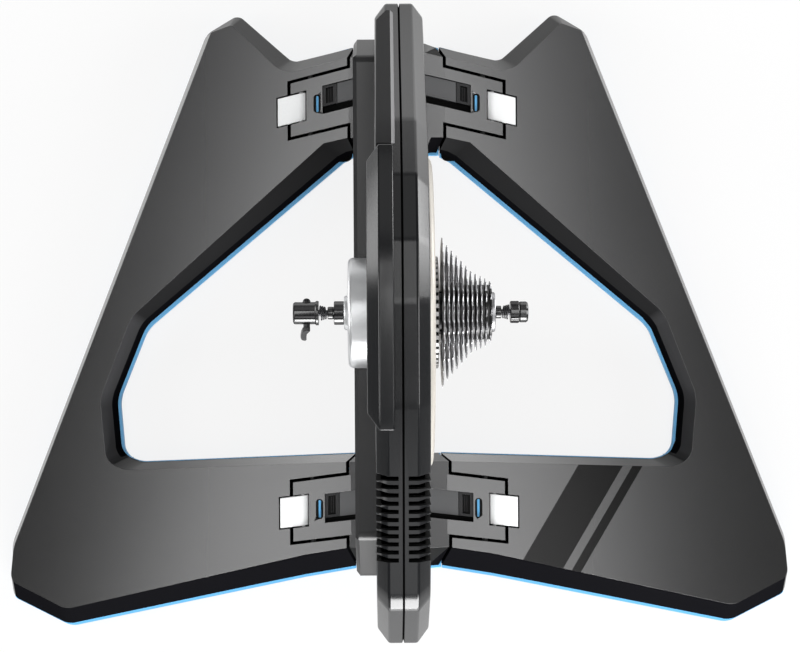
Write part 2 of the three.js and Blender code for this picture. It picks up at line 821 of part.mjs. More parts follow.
function hingeBlock(hinge) {
  const bottom = blockRing(
    hinge, hinge.wingBottomInnerX - seamGap, hinge.bottomRear + lipShow, hinge.bottomFront,
  );
  const top = blockRing(hinge, hinge.wingTopInnerX - seamGap, hinge.topRear, hinge.topFront);
  const middle = orientedSkin([
    bottom.map(([x, y]) => [x, y, frameBottom]),
    top.map(([x, y]) => [x, y, deckInnerHeight]),
  ], bottom);
  const arm = cut(
    tongue(hinge),
    boxBetween(-beyond, deckInnerX, hinge.bottomRear - beyond, hinge.bottomFront + beyond,
      deckInnerHeight, deckInnerHeight + beyond),
  );
  const tools = [keyRecess(hinge), pinBore(hinge), slideRecess(hinge), indicatorSlot(hinge)];
  tools.push(trunnionBore(hinge));
  return cut(joined(middle, arm, mirrored(arm)), ...tools, ...tools.map(mirrored));
}

function keyAxisHeight() {
  return deckHeight(keyAxisX) - keyAxisDrop;
}

function trunnion(hinge, radius, length) {
  const shift = hinge.slantShare * (keyTipX - keyAxisX);
  const outline = circle(radius, roundSides / 2);
  const placedOutline = outline.map(([a, b]) => [keyAxisX + a, keyAxisHeight() + b]);
  return lengthways(
    placedOutline, hinge.keyRearAtTip + shift - length, hinge.keyFrontAtTip + shift + length,
  );
}

function trunnionBore(hinge) {
  return trunnion(hinge, keyTrunnionRadius + fitGap, keyTrunnionLength + fitGap);
}

hinges.forEach((hinge) => {
  add(`hinge_block_${hinge.name}`, hingeBlock(hinge), surfaces.charcoal);
});

// Spine between the blocks, carrying the housing
add('base_spine', boxBetween(
  -spineHalfWidth, spineHalfWidth,
  rearHinge.bottomFront + fitGap, frontHinge.bottomRear - fitGap,
  frameBottom, housingFoot - fitGap,
), surfaces.black);

// Blue covers under the blocks, each with its own foot
hinges.forEach((hinge) => {
  const plate = upright(
    blockRing(
      hinge, hinge.wingBottomInnerX - traySeam, hinge.bottomRear, hinge.bottomFront - lipHidden,
    ),
    undersideHeight, undersideHeight + coverThickness,
  );
  const outline = circle(footRadius, roundSides).map(([a, b]) => [a, hinge.footY + b]);
  const foot = upright(outline, 0, undersideHeight + coverThickness / 2);
  add(`base_cover_${hinge.name}`, joined(plate, foot), surfaces.blue);
});

// Release keys: a barrel in the tongue with a plate that reaches over the wing
function key(hinge) {
  const z = keyAxisHeight();
  const top = (x) => deckHeight(x) - fitGap;
  const outline = [];
  for (let i = 0; i <= roundSides / 2; i += 1) {
    const angle = Math.PI / 2 + (2 * Math.PI * keyArcTurnShare * i) / (roundSides / 2);
    outline.push([
      keyAxisX + keyBarrelRadius * Math.cos(angle),
      z + keyBarrelRadius * Math.sin(angle),
    ]);
  }
  const hookX = keyTipX - keyHookWidth;
  outline.push([keyAxisX + keyBarrelRadius, top(keyAxisX + keyBarrelRadius) - keyPlate]);
  outline.push([hookX, top(hookX) - keyPlate], [hookX, top(hookX) - keyHookDepth]);
  outline.push([keyTipX, top(keyTipX) - keyHookDepth], [keyTipX, top(keyTipX)]);
  const full = lengthways(outline, hinge.bottomRear, hinge.bottomFront);
  const plan = keyPlan(hinge, 0, keyAxisX - keyBarrelRadius, keyTipX);
  const plate = common(full, upright(plan, 0, deckInnerHeight + beyond));
  return joined(plate, trunnion(hinge, keyTrunnionRadius, keyTrunnionLength));
}

// Lock indicators: a blue pad at the bottom of its slot
function indicator(hinge) {
  const z = deckHeight(slotOuterX) - slotDepth + fitGap;
  return boxBetween(
    slotInnerX + fitGap, slotOuterX - fitGap, hinge.slotRear + fitGap, hinge.slotFront - fitGap,
    z, z + indicatorThickness,
  );
}

// Lock slides: a flat bar with a sunk grip at its tip
function slide(hinge) {
  const z = deckHeight(slideTipX) - slideRecessDepth + fitGap;
  const plan = slidePlan(
    hinge, slideInnerX, slideTipX, hinge.slideRearAtTip, hinge.recessFrontAtTip - fitGap,
  );
  const grip = slidePlan(
    hinge, slideWindowInnerX, slideWindowOuterX,
    hinge.slideRearAtTip + slideWindowEdge, hinge.recessFrontAtTip - slideWindowEdge,
  );
  const top = z + slideThickness;
  return cut(upright(plan, z, top), upright(grip, top - slideWindowDepth, top + beyond));
}

sides.forEach((side) => {
  hinges.forEach((hinge) => {
    const end = `${side.name}_${hinge.name}`;
    add(`key_${end}`, side.shaped(key(hinge)), surfaces.bright);
    add(`lock_indicator_${end}`, side.shaped(indicator(hinge)), surfaces.blue);
    add(`lock_slide_${end}`, side.shaped(slide(hinge)), surfaces.charcoal);
  });
});

// Housing halves: bevelled shells that meet at a grooved seam
function housingHalf(openingRadius) {
  const groove = inset(housingOutline, seamGrooveDepth);
  const side = inset(housingOutline, housingBevel);
  const at = (outline, x) => outline.map(([y, z]) => [x, y, z]);
  const body = orientedSkin([
    at(groove, housingSeam), at(housingOutline, seamGrooveWidth),
    at(housingOutline, crownHalfWidth), at(side, housingHalfWidth),
  ], housingOutline);
  const cavity = sideways(inset(housingOutline, cavityDepth), -beyond, cavityHalfWidth);
  const opening = disc(openingRadius, 0, housingHalfWidth + beyond);
  const vents = [];
  for (let i = 0; i < ventCount; i += 1) {
    const y = ventFirstY - ventPitch * i;
    vents.push(boxBetween(ventInnerX, housingHalfWidth + beyond, y - ventWidth, y,
      housingTop - ventDrop, housingTop + ventOver));
  }
  return cut(body, cavity, opening, ...vents);
}

add('housing_right', housingHalf(rotorOpeningRadius), surfaces.housing);
add('housing_left', mirrored(housingHalf(supportOpeningRadius)), surfaces.housing);

// Left motor cover
function motorCover() {
  const at = (outline, x) => outline.map(([y, z]) => [x, y, z]);
  const face = inset(motorCoverOutline, motorCoverBevel);
  const bevelX = motorCoverOuterX + motorCoverBevel;
  const body = orientedSkin([
    at(face, motorCoverOuterX), at(motorCoverOutline, bevelX),
    at(motorCoverOutline, motorCoverInnerX),
  ], motorCoverOutline);
  const inside = sideways(
    inset(motorCoverOutline, motorCoverBevel + motorCoverWall),
    motorCoverOuterX + motorCoverWall, motorCoverInnerX + beyond,
  );
  const bossWall = disc(bossRadius + bossNotchGap + motorCoverWall, motorCoverOuterX, motorCoverInnerX);
  const hollow = cut(inside, bossWall);
  const notch = disc(bossRadius + bossNotchGap, motorCoverOuterX - beyond, motorCoverInnerX + beyond);
  return cut(body, hollow, notch);
}
add('motor_cover_left', motorCover(), surfaces.housing);

// Left shield, saddled over the crown of the left half
function shieldLeft() {
  const at = (outline, x) => outline.map(([y, z]) => [x, y, z]);
  const side = inset(shieldOutline, shieldBevel);
  const body = orientedSkin([
    at(side, shieldOuterX), at(shieldOutline, shieldCrownX), at(shieldOutline, shieldInnerX),
  ], shieldOutline);
  const swollen = inset(housingOutline, -fitGap);
  const sunk = inset(housingOutline, housingBevel);
  const form = orientedSkin([
    at(sunk, -housingHalfWidth - fitGap), at(swollen, -crownHalfWidth - fitGap),
    at(swollen, beyond),
  ], housingOutline);
  const boss = disc(bossRadius + bossNotchGap, shieldOuterX - beyond, beyond);
  return cut(body, form, boss);
}
add('shield_left', shieldLeft(), surfaces.housing);

// Axle parts
add('axle_boss_left', turned([
  [axleRadius + fitGap, bossInnerX], [bossRadius, bossInnerX], [bossRadius, bossStepX],
  [bossStepRadius, bossFaceX], [bossCapRadius, bossFaceX], [bossCapRadius - bossCapChamfer, bossCapX],
  [axleRadius + fitGap, bossCapX],
]), surfaces.silver);
add('hollow_axle', ring(axleBore, axleRadius, axleLeftX, axleRightX, roundSides), surfaces.steel);
add('dropout_collar_left', turned([
  [axleBore, collarInnerX], [collarRadius, collarInnerX], [collarRadius, collarStepX],
  [stubRadius, collarStepX], [stubRadius, stubLeftX], [axleBore, stubLeftX],
], roundSides), surfaces.black);
add('end_cap_right', turned([
  [axleBore, endCapInnerX], [axleRadius, endCapInnerX], [axleRadius, endCapFlangeX],
  [stubRadius, endCapFlangeX], [stubRadius, stubRightX], [axleBore, stubRightX],
], roundSides), surfaces.black);

// Motor parts inside the housing
add('stator', ring(statorInnerRadius, statorOuterRadius, statorLeftX, statorRightX), surfaces.copper);
add('magnet_ring', ring(magnetInnerRadius, magnetOuterRadius, magnetLeftX, rotorInnerX - fitGap),
  surfaces.steel);
add('rotor_disc', turned([
  [rotorHubRadius, rotorInnerX], [rotorRadius, rotorInnerX],
  [rotorRadius, rotorFaceX - rotorEdgeRound], [rotorRadius - rotorEdgeRound, rotorFaceX],
  [rotorRingOuter, rotorFaceX], [rotorRingOuter, rotorRingX], [rotorRingInner, rotorRingX],
  [rotorRingInner, rotorFaceX], [rotorHubRadius, rotorFaceX],
], latheSides + latheSides / 3), surfaces.cream);
[['bearing_left', bearingLeftX], ['bearing_right', bearingRightX]].forEach(([name, x]) => {
  add(name, ring(bearingInnerRadius, bearingOuterRadius, x, x + bearingWidth, roundSides),
    surfaces.steel);
});
add('control_board', boxBetween(
  boardInnerX - boardThickness, boardInnerX, boardRear, boardFront, boardLow, boardHigh,
), surfaces.board);

// Power socket on the left wall of the housing's base
const socketFaceX = -housingHalfWidth - fitGap - socketDepth;
const socketBody = boxBetween(
  socketFaceX, -housingHalfWidth - fitGap, socketY - socketWidth / 2, socketY + socketWidth / 2,
  socketLow, socketLow + socketHeight,
);
const socketHole = circle(socketBore, roundSides / 2);
add('power_socket', cut(socketBody, sideways(
  socketHole.map(([a, b]) => [socketY + a, socketLow + socketHeight / 2 + b]),
  socketFaceX - socketDepth, socketFaceX + socketBoreDepth,
)), surfaces.black);

// Cassette: toothed discs with spacing collars, some joined in clusters
function toothedOutline(teeth) {
  const pitchRadius = chainPitch / (2 * Math.sin(Math.PI / teeth));
  const points = [];
  for (let i = 0; i < teeth; i += 1) {
    const step = (2 * Math.PI) / teeth;
    [[0, pitchRadius + toothAddendum], [1 / 2, pitchRadius - toothDedendum]].forEach(([share, radius]) => {
      const angle = step * (i + share);
      points.push([radius * Math.cos(angle) + axleY, radius * Math.sin(angle) + axleHeight]);
    });
  }
  return points;
}

function windowOutline(index, inner, outer) {
  const step = (2 * Math.PI) / clusterWindowCount;
  const points = [];
  const corners = [[inner, 0], [outer, 0], [outer, clusterWindowShare], [inner, clusterWindowShare]];
  corners.forEach(([radius, share]) => {
    const angle = step * (index + share);
    points.push([radius * Math.cos(angle) + axleY, radius * Math.sin(angle) + axleHeight]);
  });
  return points;
}

function sprocketCluster(first, count) {
  const start = largestSprocketX + sprocketPitch * first - sprocketThickness / 2;
  const parts = [];
  for (let i = 0; i < count; i += 1) {
    const x = start + sprocketPitch * i;
    parts.push(sideways(toothedOutline(sprocketToothCounts[first + i]), x, x + sprocketThickness));
  }
  const end = start + sprocketPitch * count - carrierGap;
  const isLast = first + count === sprocketToothCounts.length;
  parts.push(disc(carrierRadius, start, isLast ? start + sprocketThickness : end));
  const tools = [disc(sprocketBore, start - beyond, end + beyond)];
  if (count > 2) {
    for (let i = 0; i < clusterWindowCount; i += 1) {
      const outline = windowOutline(i, clusterWindowInner, clusterWindowOuter);
      tools.push(sideways(outline, start - beyond, end + beyond));
    }
  }
  return cut(joined(...parts), ...tools);
}

let firstSprocket = 0;
clusterSprocketCounts.forEach((count) => {
  const teeth = sprocketToothCounts.slice(firstSprocket, firstSprocket + count).join('_');
  add(`sprockets_${teeth}`, sprocketCluster(firstSprocket, count), surfaces.steel);
  firstSprocket += count;
});

add('freehub_body', turned([
  [freehubBore, freehubLeftX], [freehubNeckRadius, freehubLeftX],
  [freehubNeckRadius, rotorRingX + fitGap], [freehubRadius, rotorRingX + fitGap],
  [freehubRadius, freehubRightX], [freehubBore, freehubRightX],
]), surfaces.black);
add('lockring', ring(freehubBore, lockringRadius, lockringLeftX, lockringRightX), surfaces.steel);

// Skewer: rod, springs, nut, cam cap and lever
add('skewer_rod', disc(rodRadius, rodLeftX, rodRightX, roundSides), surfaces.steel);

class ConeCoil extends THREE.Curve {
  constructor(from, to, narrowFirst) {
    super();
    this.from = from;
    this.to = to;
    this.narrowFirst = narrowFirst;
  }

  getPoint(t) {
    const share = this.narrowFirst ? t : 1 - t;
    const radius = springNarrow + (springWide - springNarrow) * share;
    const angle = 2 * Math.PI * springCurlCount * t;
    return new THREE.Vector3(
      this.from + (this.to - this.from) * t,
      axleY + radius * Math.cos(angle),
      axleHeight + radius * Math.sin(angle),
    );
  }
}

// A wire of constant thickness skinned round the coil's points, with straight end steps
function springBody(from, to, narrowFirst) {
  const coil = new ConeCoil(from, to, narrowFirst);
  const steps = springCurlCount * springStepCount;
  const points = [];
  for (let i = 0; i <= steps; i += 1) points.push(coil.getPoint(i / steps));
  const startWay = points[0].clone().sub(points[1]).normalize().multiplyScalar(springEndLength);
  const endWay = points[steps].clone().sub(points[steps - 1]).normalize();
  points.unshift(points[0].clone().add(startWay));
  points.push(points[points.length - 1].clone().add(endWay.multiplyScalar(springEndLength)));
  const rings = points.map((point, i) => {
    const before = points[Math.max(i - 1, 0)];
    const after = points[Math.min(i + 1, points.length - 1)];
    const along = after.clone().sub(before).normalize();
    const out = alongX.clone().cross(along).normalize();
    const up = along.clone().cross(out).normalize();
    return circle(springWire, springWireSides).map(([a, b]) => {
      const spot = point.clone().addScaledVector(out, a).addScaledVector(up, b);
      return [spot.x, spot.y, spot.z];
    });
  });
  return { body: skinned(rings, circle(springWire, springWireSides)), points };
}

// The least gap between two curls of one spring
function leastGap(points) {
  const samples = [];
  const finer = 4;
  for (let i = 0; i + 1 < points.length; i += 1) {
    for (let j = 0; j < finer; j += 1) samples.push(points[i].clone().lerp(points[i + 1], j / finer));
  }
  const apart = (springStepCount * finer) / 2;
  let least = Infinity;
  samples.forEach((a, i) => {
    samples.slice(i + apart).forEach((b) => {
      least = Math.min(least, a.distanceTo(b));
    });
  });
  return least - 2 * springWire;
}

[
  ['skewer_spring_left', springLeftStart, springLeftEnd, true],
  ['skewer_spring_right', springRightStart, springRightEnd, true],
].forEach(([name, from, to, narrowFirst]) => {
  const spring = springBody(from, to, narrowFirst);
  add(name, spring.body, surfaces.steel);
  console.log(`${name} least gap ${leastGap(spring.points).toFixed(2)} mm`);
});

function knurled(radius) {
  const points = [];
  for (let i = 0; i < nutRidgeCount; i += 1) {
    const step = (2 * Math.PI) / nutRidgeCount;
    [[0, radius], [1 / 2, radius - nutRidgeDepth]].forEach(([share, reach]) => {
      const angle = step * (i + share);
      points.push([axleY + reach * Math.cos(angle), axleHeight + reach * Math.sin(angle)]);
    });
  }
  return points;
}
add('skewer_nut', cut(
  sideways(knurled(nutRadius), nutLeftX, nutRightX),
  disc(rodRadius + rodGap, nutLeftX - beyond, nutBoreX, roundSides),
), surfaces.black);

function leverPin(radius, rear, front) {
  const outline = circle(radius, roundSides).map(([a, b]) => [leverAxisX + a, axleHeight + b]);
  return lengthways(outline, axleY + rear, axleY + front);
}

add('cam_cap', cut(
  turned([
    [rodRadius + rodGap, capInnerX], [capFlangeRadius, capInnerX], [capFlangeRadius, capFlangeX],
    [capRadius, capFlangeX], [capRadius, capOuterX + capEdge], [capRadius - capEdge, capOuterX],
    [0, capOuterX], [0, capBoreDepthX], [rodRadius + rodGap, capBoreDepthX],
  ], roundSides),
  leverPin(leverPinRadius + leverPinGap, -capRadius - beyond, capRadius + beyond),
), surfaces.black);

function lever() {
  const ball = new THREE.SphereGeometry(leverBallRadius, roundSides / 2, roundSides / 3);
  ball.translate(leverAxisX, axleY + leverPinFront, axleHeight);
  const arm = lengthways(
    leverArm.map(([x, z]) => [leverAxisX + x, axleHeight + z]),
    axleY + leverPinRear - leverArmThickness / 2, axleY + leverPinRear + leverArmThickness / 2,
  );
  return joined(leverPin(leverPinRadius, leverPinRear, leverPinFront), ball, arm);
}
add('skewer_lever', lever(), surfaces.black);

export default trainer;
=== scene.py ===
import json
import math

import bmesh
import bpy
from mathutils import Matrix, Vector

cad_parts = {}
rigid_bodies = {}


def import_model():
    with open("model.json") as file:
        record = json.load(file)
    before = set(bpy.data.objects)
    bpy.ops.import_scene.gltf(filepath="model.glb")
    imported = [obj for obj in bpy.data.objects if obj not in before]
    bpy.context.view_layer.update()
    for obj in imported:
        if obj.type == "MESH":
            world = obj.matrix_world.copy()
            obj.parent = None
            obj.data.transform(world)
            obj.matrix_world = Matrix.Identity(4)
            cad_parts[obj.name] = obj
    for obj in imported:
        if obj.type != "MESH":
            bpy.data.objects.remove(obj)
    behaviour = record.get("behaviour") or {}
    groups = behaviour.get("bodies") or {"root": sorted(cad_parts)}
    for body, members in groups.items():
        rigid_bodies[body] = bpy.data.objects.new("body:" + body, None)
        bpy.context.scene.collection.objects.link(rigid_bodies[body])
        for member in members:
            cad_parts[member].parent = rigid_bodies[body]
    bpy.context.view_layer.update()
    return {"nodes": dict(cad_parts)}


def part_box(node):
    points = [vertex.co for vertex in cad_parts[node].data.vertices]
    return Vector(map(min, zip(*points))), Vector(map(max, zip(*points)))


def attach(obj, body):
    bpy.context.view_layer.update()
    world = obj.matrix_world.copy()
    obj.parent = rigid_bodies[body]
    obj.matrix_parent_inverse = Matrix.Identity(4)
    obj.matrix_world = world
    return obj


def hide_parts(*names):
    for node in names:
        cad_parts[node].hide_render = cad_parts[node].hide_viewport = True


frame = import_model()
mm = 0.001

# The view. The trainer lies under a camera that looks straight down from about 1.7 m, with
# the front of the trainer up the picture. Height and lens come from how much larger the
# crown of the body shows than the deck and the floor.
lens = bpy.data.cameras.new("view_from_above")
lens.sensor_width, lens.lens, lens.shift_x, lens.clip_end = 36, 78.6, 0.0178, 30
camera = bpy.data.objects.new("view_from_above", lens)
camera.location = (-11.5 * mm, -6.9 * mm, 1710 * mm)
camera.rotation_euler = (0, 0, math.radians(-0.35))
placed = bpy.context.scene.collection.objects
placed.link(camera)
bpy.context.scene.camera = camera
bpy.context.scene.view_settings.view_transform = "Standard"


# The studio. A white sweep underfoot that keeps the trainer's soft shadow, a pair of long
# softboxes overhead with a dark gap between them, whose gloss fades outwards over the
# sloped decks, and panels low at the sides and ends that draw the edges of the body.
class Wire:
    """One output of a shader node, so that a finish's sums are written as sums."""

    def __init__(self, tree, output=None):
        self.tree, self.output = tree, output

    def node(self, kind, settings=None, sockets=None, out=0):
        made = self.tree.nodes.new(kind)
        for name, value in (settings or {}).items():
            setattr(made, name, value)
        for name, value in (sockets or {}).items():
            if isinstance(value, Wire):
                self.tree.links.new(value.output, made.inputs[name])
            else:
                made.inputs[name].default_value = value
        return Wire(self.tree, made.outputs[out] if made.outputs else None)

    def sum_of(self, operation, first, second=0.0):
        return self.node("ShaderNodeMath", {"operation": operation}, {0: first, 1: second})

    def eased(self, start, stop, low=0.0, high=1.0):
        """A soft step, from low where this value is start to high where it is stop."""
        return self.node(
            "ShaderNodeMapRange", {"interpolation_type": "SMOOTHSTEP"},
            {0: self, 1: start, 2: stop, 3: low, 4: high},
        )

    def __add__(self, other):
        return self.sum_of("ADD", self, other)

    def __sub__(self, other):
        return self.sum_of("SUBTRACT", self, other)

    def __rsub__(self, other):
        return self.sum_of("SUBTRACT", other, self)

    def __mul__(self, other):
        return self.sum_of("MULTIPLY", self, other)

    def __abs__(self):
        return self.sum_of("ABSOLUTE", self)

    __radd__ = __add__
    __rmul__ = __mul__


def emptied(holder):
    """The cleared node tree of a material or a world."""
    holder.use_nodes = True
    holder.node_tree.nodes.clear()
    return Wire(holder.node_tree)


def grey(level):
    return (level, level, level, 1)


floor_mesh = bpy.data.meshes.new("studio_floor")
sweep = bmesh.new()
bmesh.ops.create_grid(sweep, x_segments=1, y_segments=1, size=12)
sweep.to_mesh(floor_mesh)
sweep.free()
floor_paper = bpy.data.materials.new("studio_paper")
paper = emptied(floor_paper)
paper_seen = paper.node("ShaderNodeLightPath", out="Is Camera Ray")
paper_glossy = paper.node("ShaderNodeLightPath", out="Is Glossy Ray")
paper_spot = paper.node("ShaderNodeTexCoord", out="Object")
# In reflections the sweep glows as a painted light: brighter ahead, behind and aslant of the
# trainer near its middle, dimmer far off.
paper_far = paper.node("ShaderNodeVectorMath", {"operation": "LENGTH"}, {
    0: paper.node("ShaderNodeMapping", None, {"Vector": paper_spot, "Scale": (1, 0.5, 1)}),
}, out=1).eased(0.75, 1.4)
paper_aside, paper_along = (
    paper.node("ShaderNodeSeparateXYZ", None, {0: paper_spot}, out=axis) for axis in (0, 1)
)
paper_ahead = paper_along.eased(0.8, 1.2, 0, 0.8)
paper_behind = paper_along.eased(-0.95, -1.3, 0, 2.6)
paper_near = abs(paper_aside).eased(0.7, 1.2, 1, 0)
paper_aslant = paper_aside.eased(0.15, 0.4) * paper_along.eased(0.3, 0.5)
paper_glow_patches = (paper_ahead + paper_behind) * paper_near + paper_aslant
paper_glow = 1 - paper_glossy * (paper_far * 0.75 + 0.15 - paper_glow_patches)
paper_mixed = paper.node("ShaderNodeMixShader", None, {
    0: paper_seen * 0.84 + paper_glossy,
    1: paper.node("ShaderNodeBsdfDiffuse", None, {"Color": grey(0.8)}),
    2: paper.node("ShaderNodeEmission", None, {
        "Color": paper.node("ShaderNodeCombineColor", None, {
            0: paper_glow, 1: paper_glow, 2: paper_glow,
        }), "Strength": 1.0,
    }),
})
paper.node("ShaderNodeOutputMaterial", None, {"Surface": paper_mixed})
floor_mesh.materials.append(floor_paper)
studio_floor = bpy.data.objects.new("studio_floor", floor_mesh)
placed.link(studio_floor)

studio_air = bpy.data.worlds.new("studio_air")
bpy.context.scene.world = studio_air
air = emptied(studio_air)
air_mixed = air.node("ShaderNodeMixShader", None, {
    0: air.node("ShaderNodeLightPath", out="Is Camera Ray"),
    1: air.node("ShaderNodeBackground", None, {"Color": grey(1.0), "Strength": 0.10}),
    2: air.node("ShaderNodeBackground", None, {"Color": grey(1.0), "Strength": 0.88}),
})
air.node("ShaderNodeOutputWorld", None, {"Surface": air_mixed})

lamps = (
    ("softbox_right", (0.575, -0.25, 2.7), (0.64, 2.4), 3.2, (0, 0, -1), 11),
    ("softbox_left", (-0.645, -0.25, 2.7), (0.58, 2.4), 3.4, (0, 0, -1), -16),
    ("softbox_middle", (0.12, 0.1, 2.7), (0.25, 0.4), 4.5, (0, 0, -1), 0),
    ("fill_right", (2.6, -0.2, 1.4), (1.4, 1.3), 5.4, (-1, 0.1, -0.5), 0),
    ("fill_left", (-2.6, -0.2, 1.4), (1.4, 1.3), 5.4, (1, 0.1, -0.5), 0),
    ("panel_right", (1.15, 0.45, 0.2), (0.6, 0.5), 7.5, (-1, -0.2, 0.3), 0),
    ("panel_left", (-1.15, 0.45, 0.2), (0.6, 0.5), 4.0, (1, -0.2, 0.3), 0),
    ("panel_rear", (0.5, -2.0, 0.62), (1.6, 0.9), 16.0, (0, 1, -0.1), 0),
    ("panel_front", (0.0, 2.1, 0.55), (1.6, 0.9), 0.42, (0, -1, 0), 0),
    ("panel_upper", (0.0, 2.0, 2.0), (1.6, 1.6), 0.45, (0, -1, -1), 0),
    ("panel_high_rear", (0.0, -1.7, 2.2), (0.8, 0.8), 1.3, (0, 0.7, -0.7), 0),
)
for name, place, size, glow, aim, turn in lamps:
    light = bpy.data.lights.new(name, "AREA")
    light.shape = "RECTANGLE"
    light.size, light.size_y = size
    light.energy = glow * math.pi * size[0] * size[1]
    lamp = bpy.data.objects.new(name, light)
    lamp.location = place
    faced = Vector(aim).to_track_quat("-Z", "Y").to_matrix()
    lamp.rotation_euler = (Matrix.Rotation(math.radians(turn), 3, "Z") @ faced).to_euler()
    lamp.visible_camera = False
    placed.link(lamp)


# Blue bottom trays of the wings. Moulded plastic, screwed under the hollow decks, so that
# only a thin blue lip shows round the opening and along the rear edges. Where a tray runs
# under the hinge tongues, a black sheet lies on it as painted shade for the deep seams.
class Finish:
    """A material being made: its object coordinates, its sockets and its shader."""

    def __init__(self, name):
        self.material = bpy.data.materials.new(name)
        self.wire = emptied(self.material)
        self.spot = self.wire.node("ShaderNodeTexCoord", out="Object")

    def axis(self, index, vector=None):
        return self.wire.node("ShaderNodeSeparateXYZ", None, {0: vector or self.spot}, out=index)

    def noise(self, scale, detail=2.0, kind="3D", **sockets):
        return self.wire.node("ShaderNodeTexNoise", {"noise_dimensions": kind}, {
            "Scale": scale, "Detail": detail, **(sockets or {"Vector": self.spot}),
        })

    def shaded(self, colour, level):
        """The colour, made darker and lighter by a level that varies about 1."""
        tone = self.wire.node("ShaderNodeCombineColor", None, {0: level, 1: level, 2: level})
        return self.wire.node(
            "ShaderNodeMix", {"data_type": "RGBA", "blend_type": "MULTIPLY"},
            {0: 1.0, 6: colour if isinstance(colour, Wire) else (*colour, 1), 7: tone}, out=2,
        )

    def done(self, colour, roughness, height, relief, metallic=0.0, coat=0.0, gloss=0.5):
        bump = {"Strength": relief, "Distance": 0.3 * mm, "Height": height}
        shader = self.wire.node("ShaderNodeBsdfPrincipled", None, {
            "Base Color": colour, "Roughness": roughness, "Metallic": metallic,
            "Coat Weight": coat, "Coat Roughness": 0.12, "Specular IOR Level": gloss,
            "Normal": self.wire.node("ShaderNodeBump", None, bump),
        })
        self.wire.node("ShaderNodeOutputMaterial", None, {"Surface": shader})
        return self.material


def moulded(name, colour, roughness, grain=900.0, relief=0.12, drift=0.08, gloss=0.5):
    """Moulded plastic: a fine grain from the tool, and slow drift in tone and polish."""
    made = Finish(name)
    fine, slow = made.noise(grain), made.noise(9.0, 3.0)
    tone = made.shaded(colour, slow * (2 * drift) + (1 - drift))
    polish = slow * 0.1 + fine * 0.08 + (roughness - 0.09)
    return made.done(tone, polish, fine, relief, gloss=gloss)


def copied(node):
    """A copy of one CAD node, its loose triangles merged back into whole faces."""
    work = bmesh.new()
    work.from_mesh(frame["nodes"][node].data)
    bmesh.ops.remove_doubles(work, verts=work.verts, dist=0.01 * mm)
    bmesh.ops.dissolve_limit(
        work, angle_limit=math.radians(0.6), verts=work.verts, edges=work.edges,
    )
    return work


def bend(edge):
    """How far the surface turns at an edge, in degrees, more than 0 where it is convex."""
    return math.degrees(edge.calc_face_angle_signed(0))


def outer_edges(work, least, kept=lambda edge: True):
    """The convex edges that turn by more than this angle."""
    return [edge for edge in work.edges if bend(edge) > least and kept(edge)]


def softened(work, edges, width, segments=2):
    bmesh.ops.bevel(
        work, geom=[edge for edge in edges if edge.is_valid], offset=width,
        offset_type="OFFSET", affect="EDGES", segments=segments, profile=0.5, material=-1,
        clamp_overlap=True,
    )


def piece(work, name, body, slot, paints, *nodes, smooth=32):
    """Makes a mesh a shown piece that rides on its body and stands for CAD nodes."""
    mesh = bpy.data.meshes.new(name)
    work.to_mesh(mesh)
    work.free()
    for paint in paints if isinstance(paints, tuple) else (paints,):
        mesh.materials.append(paint)
    for face in mesh.polygons:
        face.use_smooth = True
    mesh.set_sharp_from_angle(angle=math.radians(smooth))
    shown = bpy.data.objects.new(name, mesh)
    placed.link(shown)
    shown.modifiers.new("even_flats", "WEIGHTED_NORMAL").keep_sharp = True
    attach(shown, body)
    if nodes:
        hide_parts(*nodes)


def middle(item):
    """The middle of a face or an edge."""
    if isinstance(item, bmesh.types.BMFace):
        return item.calc_center_median()
    return (item.verts[0].co + item.verts[1].co) / 2


def run(edge):
    """An edge as a vector."""
    return edge.verts[0].co - edge.verts[1].co


def coated(faces, index):
    """Gives faces one of their piece's finishes, by its place in the list."""
    for face in faces:
        face.material_index = index


def slab(centre, size):
    """A plain block with this middle and these sides, to be shaped further."""
    work = bmesh.new()
    place = Matrix.Translation(centre) @ Matrix.Diagonal((*size, 1))
    bmesh.ops.create_cube(work, size=1, matrix=place)
    return work


tray_corner, opening_corner, tray_inset = 6 * mm, 8 * mm, 1.1 * mm
pad_reach, pad_width, pad_height, pad_thickness = 79.5 * mm, 73 * mm, 16.15 * mm, 0.26 * mm


def in_opening(spot):
    return -145 * mm < spot.y < 170 * mm and abs(spot.x) < 290 * mm


def plan_corner(edge):
    """An upright or flared edge that turns a corner of the wing's plan, off the seams."""
    low, high = sorted((vert.co for vert in edge.verts), key=lambda spot: spot.z)
    rise = high - low
    return (
        rise.z > 4 * mm and rise.xy.length < 30 * mm and low.z < 17 * mm
        and min(abs(low.x), abs(high.x)) > 60 * mm and abs(bend(edge)) > 19
    )


